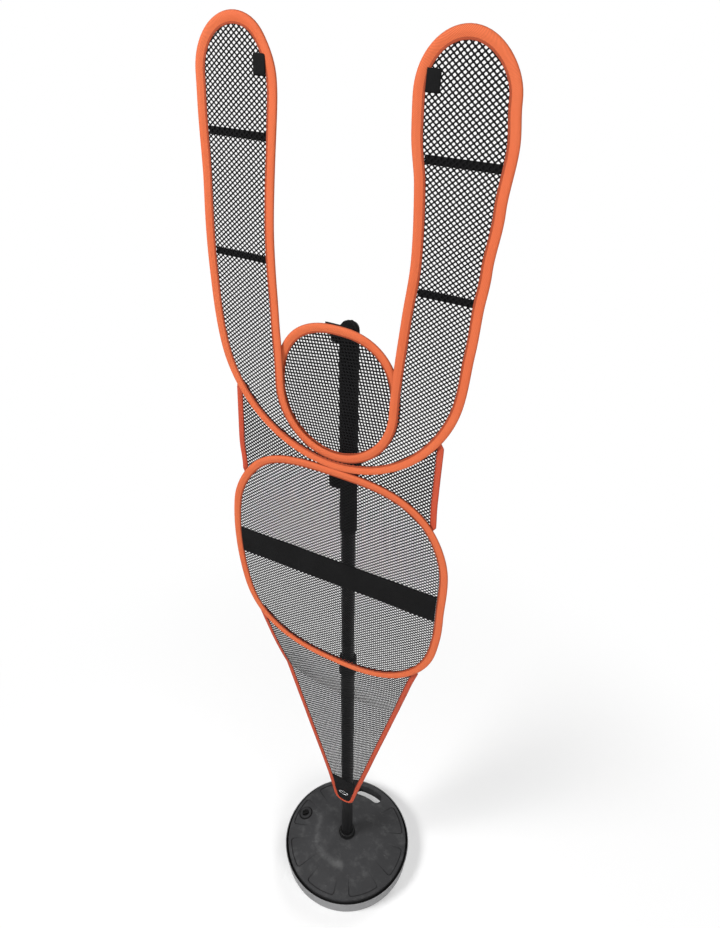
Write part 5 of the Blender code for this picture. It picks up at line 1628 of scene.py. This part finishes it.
def lid_height(radius):
    """Height of the lid's cone at a distance from the axis."""
    span = BASE_RADIUS - 0.004 - BASE_EDGE_ROUND - BASE_CROWN_RADIUS
    return BASE_CROWN_HEIGHT - (radius - BASE_CROWN_RADIUS) * (BASE_CROWN_HEIGHT - BASE_RIM_HEIGHT) / span


def panel_place(x, y):
    """How far inside a panel's edge a place on the lid is, and how deep the panel has become there."""
    radius, angle = math.hypot(x, y), math.degrees(math.atan2(y, x))
    off = (angle - 90.0 + 22.5) % 45.0 - 22.5
    if abs(angle - 90.0) < 22.5 or not PANEL_INNER_RADIUS < radius < PANEL_OUTER_RADIUS:
        return 0.0, 0.0
    to_side = math.radians(PANEL_HALF_ANGLE - abs(off)) * radius
    to_rim = PANEL_OUTER_RADIUS - radius
    near = min(to_side, to_rim)
    if to_side < PANEL_CORNER and to_rim < PANEL_CORNER:
        near = PANEL_CORNER - math.hypot(PANEL_CORNER - to_side, PANEL_CORNER - to_rim)
    fade = min(1.0, (radius - PANEL_INNER_RADIUS) / (PANEL_OUTER_RADIUS - PANEL_INNER_RADIUS) * 1.15)
    return max(0.0, near), fade


def pressed(x, y):
    """How far the lid is pressed down at a place in plan, by the panel that it lies in."""
    near, fade = panel_place(x, y)
    share = min(1.0, near / PANEL_SLOPE_WIDTH)
    return PANEL_DEPTH * fade * share * share * (3 - 2 * share)


def crease(x, y):
    """How much painted shade lies in the crease round a panel at a place in plan."""
    near, fade = panel_place(x, y)
    return fade * max(0.0, 1.0 - abs(near - PANEL_SLOPE_WIDTH) / PANEL_SLOPE_WIDTH)


def arc(centre, radius, start, end, steps):
    """Points on an arc in plan, with both its ends."""
    angles = np.radians(np.linspace(start, end, steps + 1))
    return [(centre[0] + radius * math.cos(a), centre[1] + radius * math.sin(a)) for a in angles]


def slot_outline(grow):
    """Plan of the carrying slot, a bent slot with round ends, made larger on every side."""
    middle = (SLOT_INNER_RADIUS + SLOT_OUTER_RADIUS) / 2
    half = (SLOT_OUTER_RADIUS - SLOT_INNER_RADIUS) / 2
    swing = SLOT_HALF_ANGLE - math.degrees(half / middle)
    low, high = 90.0 - swing, 90.0 + swing
    right, left = [arc((0.0, 0.0), middle, angle, angle, 1)[0] for angle in (low, high)]
    outline = arc((0.0, 0.0), middle + half + grow, low, high, 14)
    outline += arc(left, half + grow, high, high + 180.0, 16)[1:-1]
    outline += arc((0.0, 0.0), middle - half - grow, high, low, 14)
    outline += arc(right, half + grow, low + 180.0, low + 360.0, 16)[1:-1]
    return outline


def alcove_outline(grow, outer):
    """Plan of the hand hold's space below the slot, made larger on its inner sides."""
    half = ALCOVE_HALF_ANGLE + math.degrees(grow / ALCOVE_INNER_RADIUS)
    outline = arc((0.0, 0.0), outer, 90.0 - half, 90.0 + half, 24)
    return outline + arc((0.0, 0.0), ALCOVE_INNER_RADIUS - grow, 90.0 + half, 90.0 - half, 24)


def neck_frame():
    """Place and lean of the fill neck."""
    return Matrix.Translation((-NECK_RADIUS_FROM_AXIS, 0.0, NECK_FLOOR)) @ Matrix.Rotation(
        -math.radians(NECK_LEAN), 4, "Y")


def settle(obj, place):
    """Move a finished shape to its place, in its mesh."""
    obj.data.transform(place)
    return obj


class MANNEQUIN_OT_base(bpy.types.Operator):
    """Mould the base's pan and lid, with the pressed panels, the carrying slot and the fill neck"""

    bl_idname = "mannequin.base"
    bl_label = "Base"

    def execute(self, context):
        segments = sizes()[2].lid_segments
        self.pan(segments)
        self.lid(segments)
        return {"FINISHED"}

    def pan(self, segments):
        """Side wall, floor and the pole's socket."""
        top = BASE_SEAM_HEIGHT
        groove = top - SEAM_DEPTH
        socket = LOWER_TUBE_RADIUS + RUNNING_GAP
        post = socket + SOCKET_WALL
        floor = BASE_RECESS_HEIGHT + BASE_WALL
        foot = BASE_FLOOR_RADIUS - BASE_EDGE_ROUND
        profile = [(BASE_CENTRE, BASE_RECESS_HEIGHT), (0.08, BASE_RECESS_HEIGHT)]
        profile += quarter(
            (BASE_RECESS_RADIUS - 0.004, BASE_RECESS_HEIGHT), (BASE_RECESS_RADIUS - 0.001, 0.001), 3)
        profile += [(BASE_RECESS_RADIUS, 0.0)]
        profile += [(foot + BASE_EDGE_ROUND * math.sin(a), BASE_EDGE_ROUND * (1 - math.cos(a)))
                    for a in np.linspace(0.0, math.pi / 2, 8)]
        profile += [(BASE_FLOOR_RADIUS + 0.0045 * s, BASE_EDGE_ROUND + (top - 0.0015 - BASE_EDGE_ROUND) * s)
                    for s in (0.25, 0.5, 0.75, 1.0)]
        profile += quarter((BASE_RADIUS - 0.0004, top - 0.0013), (BASE_RADIUS - 0.0018, top), 4, True)
        profile += [(BASE_RADIUS - 0.0026, top - 0.0004), (BASE_RADIUS - 0.0036, groove)]
        profile += [(LID_RADIUS - 0.006, groove)]
        profile += [(BASE_FLOOR_RADIUS - 2 * BASE_WALL, BASE_EDGE_ROUND + BASE_WALL)]
        profile += [(foot - BASE_WALL, floor)]
        profile += [(post, floor), (post, BASE_CROWN_HEIGHT - 0.0015), (socket, BASE_CROWN_HEIGHT - 0.0015)]
        profile += [(socket, floor), (BASE_CENTRE, floor)]
        pan = turned("base_pan_shell", profile, segments, True)
        within_wall = BASE_FLOOR_RADIUS - 0.001
        walls = alcove_outline(BASE_WALL, within_wall)
        combine(pan, raised("alcove_walls", walls, floor - BASE_WALL / 2, ALCOVE_TOP + BASE_WALL), "UNION")
        space = alcove_outline(0.0, BASE_RADIUS + 0.01)
        combine(pan, raised("alcove_space", space, CUT_LOW, ALCOVE_TOP), "DIFFERENCE")
        combine(pan, raised("slot_cut", slot_outline(0.0), CUT_LOW, CUT_HIGH), "DIFFERENCE")
        smooth_again(pan)
        dress(pan, "pan", "base", ("base_pan",))

    def lid(self, segments):
        """The dome, in close rings so that its panels have soft edges."""
        seat = BASE_SEAM_HEIGHT - SEAM_DEPTH + SEAT_GAP
        inner = LID_RADIUS - 0.0045
        hole = LOWER_TUBE_RADIUS + RUNNING_GAP + SOCKET_WALL + SEAT_GAP
        edge = LID_RADIUS - LID_EDGE_ROUND
        radii = list(np.arange(BASE_CROWN_RADIUS + 0.008, PANEL_INNER_RADIUS, 0.010))
        radii += list(np.arange(PANEL_INNER_RADIUS, 0.168, 0.0024))
        radii += list(np.arange(0.168, edge - 0.0005, 0.0009))
        profile = [(hole, BASE_CROWN_HEIGHT - 0.001), (hole + 0.001, BASE_CROWN_HEIGHT)]
        profile += [(BASE_CROWN_RADIUS - 0.003, BASE_CROWN_HEIGHT)]
        profile += [(BASE_CROWN_RADIUS, BASE_CROWN_HEIGHT - 0.0003)]
        profile += [(float(radius), lid_height(radius)) for radius in radii]
        profile += quarter((edge, lid_height(edge)), (LID_RADIUS, lid_height(edge) - LID_EDGE_ROUND), 8)
        profile += [(LID_RADIUS, seat + 0.0025), (LID_RADIUS - 0.0006, seat), (inner, seat)]
        profile += [(inner, lid_height(inner) - 2 * BASE_WALL)]
        profile += [(inner - BASE_WALL, lid_height(inner) - 1.2 * BASE_WALL)]
        profile += [(BASE_CROWN_RADIUS, BASE_CROWN_HEIGHT - BASE_WALL), (hole, BASE_CROWN_HEIGHT - BASE_WALL)]
        lid = turned("base_lid_shell", profile, segments)
        for vertex in lid.data.vertices:
            x, y, z = vertex.co
            if z > lid_height(math.hypot(x, y)) - BASE_WALL / 2:
                vertex.co.z = z - pressed(x, y)
        well_low = ALCOVE_TOP + BASE_WALL + SEAT_GAP
        combine(lid, raised("slot_well", slot_outline(SLOT_WALL), well_low, 0.0765), "UNION")
        combine(lid, raised("slot_cut", slot_outline(0.0), CUT_LOW, CUT_HIGH), "DIFFERENCE")
        neck = NECK_BORE_RADIUS + 0.003
        tube_profile = [(PLUG_CENTRE, -0.0028), (neck, -0.0028), (neck, -0.012), (PLUG_CENTRE, -0.012)]
        tube = turned("neck_tube", tube_profile, 64, True)
        combine(lid, settle(tube, neck_frame()), "UNION")
        seat_profile = [(PLUG_CENTRE, 0.02), (CAP_SEAT_RADIUS, 0.02), (CAP_SEAT_RADIUS, -0.0012)]
        seat_profile += [(CAP_SEAT_RADIUS - 0.0008, -0.002), (NECK_BORE_RADIUS, -0.002)]
        seat_profile += [(NECK_BORE_RADIUS, -0.022), (PLUG_CENTRE, -0.022)]
        bore = turned("neck_bore", seat_profile, 96, True)
        combine(lid, settle(bore, neck_frame()), "DIFFERENCE")
        self.soften_slot(lid)
        smooth_again(lid)
        # Painted shade for the creases round the panels, kept on each vertex.
        crease_shade = lid.data.attributes.new("crease", "FLOAT", "POINT")
        crease_shade.data.foreach_set("value", [crease(vertex.co.x, vertex.co.y) for vertex in lid.data.vertices])
        dress(lid, "lid", "base", ("base_lid",))
        self.cap()

    def soften_slot(self, lid):
        """Round the upper edge of the carrying slot."""
        outline = np.array(slot_outline(0.0))
        mesh = bmesh.new()
        mesh.from_mesh(lid.data)
        bmesh.ops.remove_doubles(mesh, verts=mesh.verts[:], dist=MERGE_DISTANCE)
        for item in mesh.edges:
            item.select = False
        for item in mesh.edges:
            on_line = True
            for vertex in item.verts:
                x, y, z = vertex.co
                away = drawn_distance(np.array([x, y]), outline)
                on_line = on_line and away < 0.00005 and z > lid_height(math.hypot(x, y)) - 0.0006
            if on_line:
                item.select = True
        edges = [item for item in mesh.edges if item.select]
        bmesh.ops.bevel(mesh, geom=edges, offset=0.0016, segments=3, profile=0.5, affect="EDGES")
        mesh.to_mesh(lid.data)
        mesh.free()

    def cap(self):
        """The fill cap: a flange with a rounded edge, a plug, and a grip bar across its recess."""
        low = CAP_LOW
        high = low + CAP_THICKNESS
        well = high - CAP_DEPTH
        plug = NECK_BORE_RADIUS - RUNNING_GAP
        recess = CAP_RECESS_RADIUS
        profile = [(PLUG_CENTRE, well), (recess - 0.0008, well), (recess, well + 0.0008)]
        profile += [(recess, high - 0.0006), (recess + 0.0006, high)]
        profile += quarter((CAP_FLANGE_RADIUS - 0.0015, high), (CAP_FLANGE_RADIUS, high - 0.0015), 5)
        profile += [(CAP_FLANGE_RADIUS, low), (plug, low), (plug, low - 0.009)]
        profile += [(plug - 0.001, low - CAP_PLUG_DEPTH), (PLUG_CENTRE, low - CAP_PLUG_DEPTH)]
        cap = turned("fill_cap_plug", profile, 96, True)
        start_piece()
        middle = high - CAP_DEPTH / 2 - CAP_BAR_SUNK
        bpy.ops.mesh.primitive_cube_add(size=1.0, location=(0.0, 0.0, middle))
        bar = active("cap_bar")
        there, back = Matrix.Translation((0, 0, middle)), Matrix.Translation((0, 0, -middle))
        settle(bar, there @ Matrix.Diagonal((*CAP_BAR_SIZE, 1.0)) @ back)
        settle(bar, Matrix.Rotation(math.radians(CAP_TURNED), 4, "Z"))
        edge = bar.modifiers.new("Edges", "BEVEL")
        edge.width = 0.0006
        edge.segments = 3
        bpy.ops.object.modifier_apply(modifier=edge.name)
        combine(cap, bar, "UNION")
        settle(cap, neck_frame())
        smooth_again(cap)
        dress(cap, "cap", "cap", ("fill_cap",))


def drawn_distance(point, outline):
    """Least distance from a point to a closed outline."""
    run = np.roll(outline, -1, axis=0) - outline
    lengths = np.maximum((run ** 2).sum(axis=1), 1e-12)
    share = np.clip(np.einsum("ij,ij->i", point - outline, run) / lengths, 0.0, 1.0)
    return float(np.linalg.norm(point - (outline + share[:, None] * run), axis=1).min())


class MANNEQUIN_OT_ring(bpy.types.Operator):
    """Bend the small steel ring at the tail's point"""

    bl_idname = "mannequin.ring"
    bl_label = "Steel Ring"

    def execute(self, context):
        depth = tip_surface() - STRAP_THICKNESS / 2 - SEAT_GAP - RING_WIRE
        start_piece()
        bpy.ops.mesh.primitive_torus_add(
            major_segments=64, minor_segments=14, major_radius=RING_HALF_WIDTH, minor_radius=RING_WIRE)
        ring = active("point_ring_wire")
        bpy.ops.object.mode_set(mode="EDIT")
        bpy.ops.mesh.select_all(action="SELECT")
        squeeze = RING_HALF_HEIGHT / RING_HALF_WIDTH
        bpy.ops.transform.resize(value=(1.0, squeeze, 1.0), center_override=(0.0, 0.0, 0.0))
        bpy.ops.object.mode_set(mode="OBJECT")
        settle(ring, Matrix.Translation((0.0, depth, LOOP_CENTRE)) @ Matrix.Rotation(math.pi / 2, 4, "X"))
        smooth_again(ring, 60.0)
        dress(ring, "steel", "figure", ("point_ring",))
        return {"FINISHED"}


class MANNEQUIN_OT_stage(bpy.types.Operator):
    """Set the floor, the soft lamps, the pale surroundings and the camera"""

    bl_idname = "mannequin.stage"
    bl_label = "Stage"

    def execute(self, context):
        self.floor()
        self.lamps()
        self.world()
        self.camera()
        view = context.scene.view_settings
        view.view_transform = "Standard"
        return {"FINISHED"}

    def floor(self):
        """A wide pale floor that fades to white away from the base."""
        stage = sizes()[3]
        start_piece()
        bpy.ops.mesh.primitive_circle_add(vertices=96, radius=60.0, fill_type="TRIFAN")
        floor = active("floor")
        made = Surface("floor_paper", 0.9, 0.1)
        grain = made.noise(made.place(), 60.0, 3.0)
        colour = tuple(stage.floor_colour)
        made.link("Base Color", made.mix(grain, shade(colour, 0.99), shade(colour, 1.01)))
        distance = made.vector_maths("LENGTH", made.place())
        seen = made.node("ShaderNodeLightPath", output="Is Camera Ray")
        glow = made.node("ShaderNodeEmission", None, {"Color": (1.0, 1.0, 1.0), "Strength": 1.0})
        lift = made.node("ShaderNodeEmission", None, {"Color": (1.0, 1.0, 1.0), "Strength": seen * 0.22})
        lit = made.node("ShaderNodeAddShader", None, {0: Value(made, made.shader.outputs[0]), 1: lift})
        fade = made.node("ShaderNodeMixShader", None, {0: seen * distance.band(0.45, 1.6), 1: lit, 2: glow})
        output = made.tree.nodes["Material Output"]
        made.tree.links.new(fade.socket, output.inputs["Surface"])
        floor.data.materials.append(made.material)

    def lamps(self):
        """A broad key lamp from the front left, and a weaker one from the right."""
        power = sizes()[3].lamp_power
        for name, place, target, size, share in (
            ("key_lamp", (-2.1, -2.6, 3.9), (0.0, 0.0, 1.1), 1.6, 1.0),
            ("fill_lamp", (2.8, -1.6, 2.6), (0.0, 0.0, 1.2), 2.4, 0.35),
            ("back_lamp", (0.8, 2.8, 3.4), (0.0, 0.0, 1.4), 2.4, 0.30),
        ):
            lamp = bpy.data.lights.new(name, "AREA")
            lamp.shape = "DISK"
            lamp.size = size
            lamp.energy = power * share
            obj = bpy.data.objects.new(name, lamp)
            obj.location = place
            obj.rotation_euler = (Vector(target) - Vector(place)).to_track_quat("-Z", "Y").to_euler()
            bpy.context.scene.collection.objects.link(obj)

    def world(self):
        """Even light all round, white where the camera or a reflection sees it."""
        world = bpy.data.worlds.new("surroundings")
        bpy.context.scene.world = world
        world.use_nodes = True
        tree = world.node_tree
        path = tree.nodes.new("ShaderNodeLightPath")
        background = tree.nodes["Background"]
        background.inputs["Color"].default_value = (1.0, 1.0, 1.0, 1.0)
        strength = sizes()[3].world_strength
        seen = tree.nodes.new("ShaderNodeMath")
        seen.operation = "MAXIMUM"
        tree.links.new(path.outputs["Is Camera Ray"], seen.inputs[0])
        tree.links.new(path.outputs["Is Transmission Ray"], seen.inputs[1])
        level = tree.nodes.new("ShaderNodeMapRange")
        level.inputs["To Min"].default_value = strength
        level.inputs["To Max"].default_value = 1.0
        tree.links.new(seen.outputs[0], level.inputs["Value"])
        tree.links.new(level.outputs[0], background.inputs["Strength"])

    def camera(self):
        """The camera of the photograph."""
        azimuth, pitch, roll = (math.radians(angle) for angle in (CAMERA_AZIMUTH, CAMERA_PITCH, CAMERA_ROLL))
        forward = Vector((
            -math.sin(azimuth) * math.cos(pitch), math.cos(azimuth) * math.cos(pitch), -math.sin(pitch)))
        right = Vector((math.cos(azimuth), math.sin(azimuth), 0.0))
        up = right.cross(forward)
        turned_right = right * math.cos(roll) + up * math.sin(roll)
        turned_up = up * math.cos(roll) - right * math.sin(roll)
        data = bpy.data.cameras.new("camera")
        data.sensor_fit = "HORIZONTAL"
        data.sensor_width = SENSOR_WIDTH
        data.lens = CAMERA_FOCAL_PIXELS * SENSOR_WIDTH / IMAGE_WIDTH
        data.clip_end = 500.0
        camera = bpy.data.objects.new("camera", data)
        camera.matrix_world = Matrix.Translation(CAMERA_PLACE) @ Matrix(
            (turned_right, turned_up, -forward)).transposed().to_4x4()
        bpy.context.scene.collection.objects.link(camera)
        bpy.context.scene.camera = camera


class MANNEQUIN_PT_panel(bpy.types.Panel):
    """Lists the steps and the sizes"""

    bl_idname = "MANNEQUIN_PT_panel"
    bl_label = "Mannequin"
    bl_space_type = "VIEW_3D"
    bl_region_type = "UI"
    bl_category = "Mannequin"

    def draw(self, context):
        for step in OPERATORS:
            self.layout.operator(step.bl_idname)
        for group in sizes():
            for key in group.__annotations__:
                self.layout.prop(group, key)


OPERATORS = (
    MANNEQUIN_OT_bindings,
    MANNEQUIN_OT_nets,
    MANNEQUIN_OT_straps,
    MANNEQUIN_OT_sleeve,
    MANNEQUIN_OT_ring,
    MANNEQUIN_OT_pole,
    MANNEQUIN_OT_base,
    MANNEQUIN_OT_stage,
)
GROUPS = {
    "mannequin_cloth": ClothProperties,
    "mannequin_tape": TapeProperties,
    "mannequin_base": BaseProperties,
    "mannequin_stage": StageProperties,
}


def register():
    for name, group in GROUPS.items():
        bpy.utils.register_class(group)
        setattr(bpy.types.Scene, name, bpy.props.PointerProperty(type=group))
    for step in (*OPERATORS, MANNEQUIN_PT_panel):
        bpy.utils.register_class(step)


def unregister():
    for step in (MANNEQUIN_PT_panel, *reversed(OPERATORS)):
        bpy.utils.unregister_class(step)
    for name, group in GROUPS.items():
        delattr(bpy.types.Scene, name)
        bpy.utils.unregister_class(group)


def main():
    """Build every piece in order."""
    register()
    bpy.ops.mannequin.bindings()
    bpy.ops.mannequin.nets()
    bpy.ops.mannequin.straps()
    bpy.ops.mannequin.sleeve()
    bpy.ops.mannequin.ring()
    bpy.ops.mannequin.pole()
    bpy.ops.mannequin.base()
    bpy.ops.mannequin.stage()


if __name__ == "__main__":
    main()
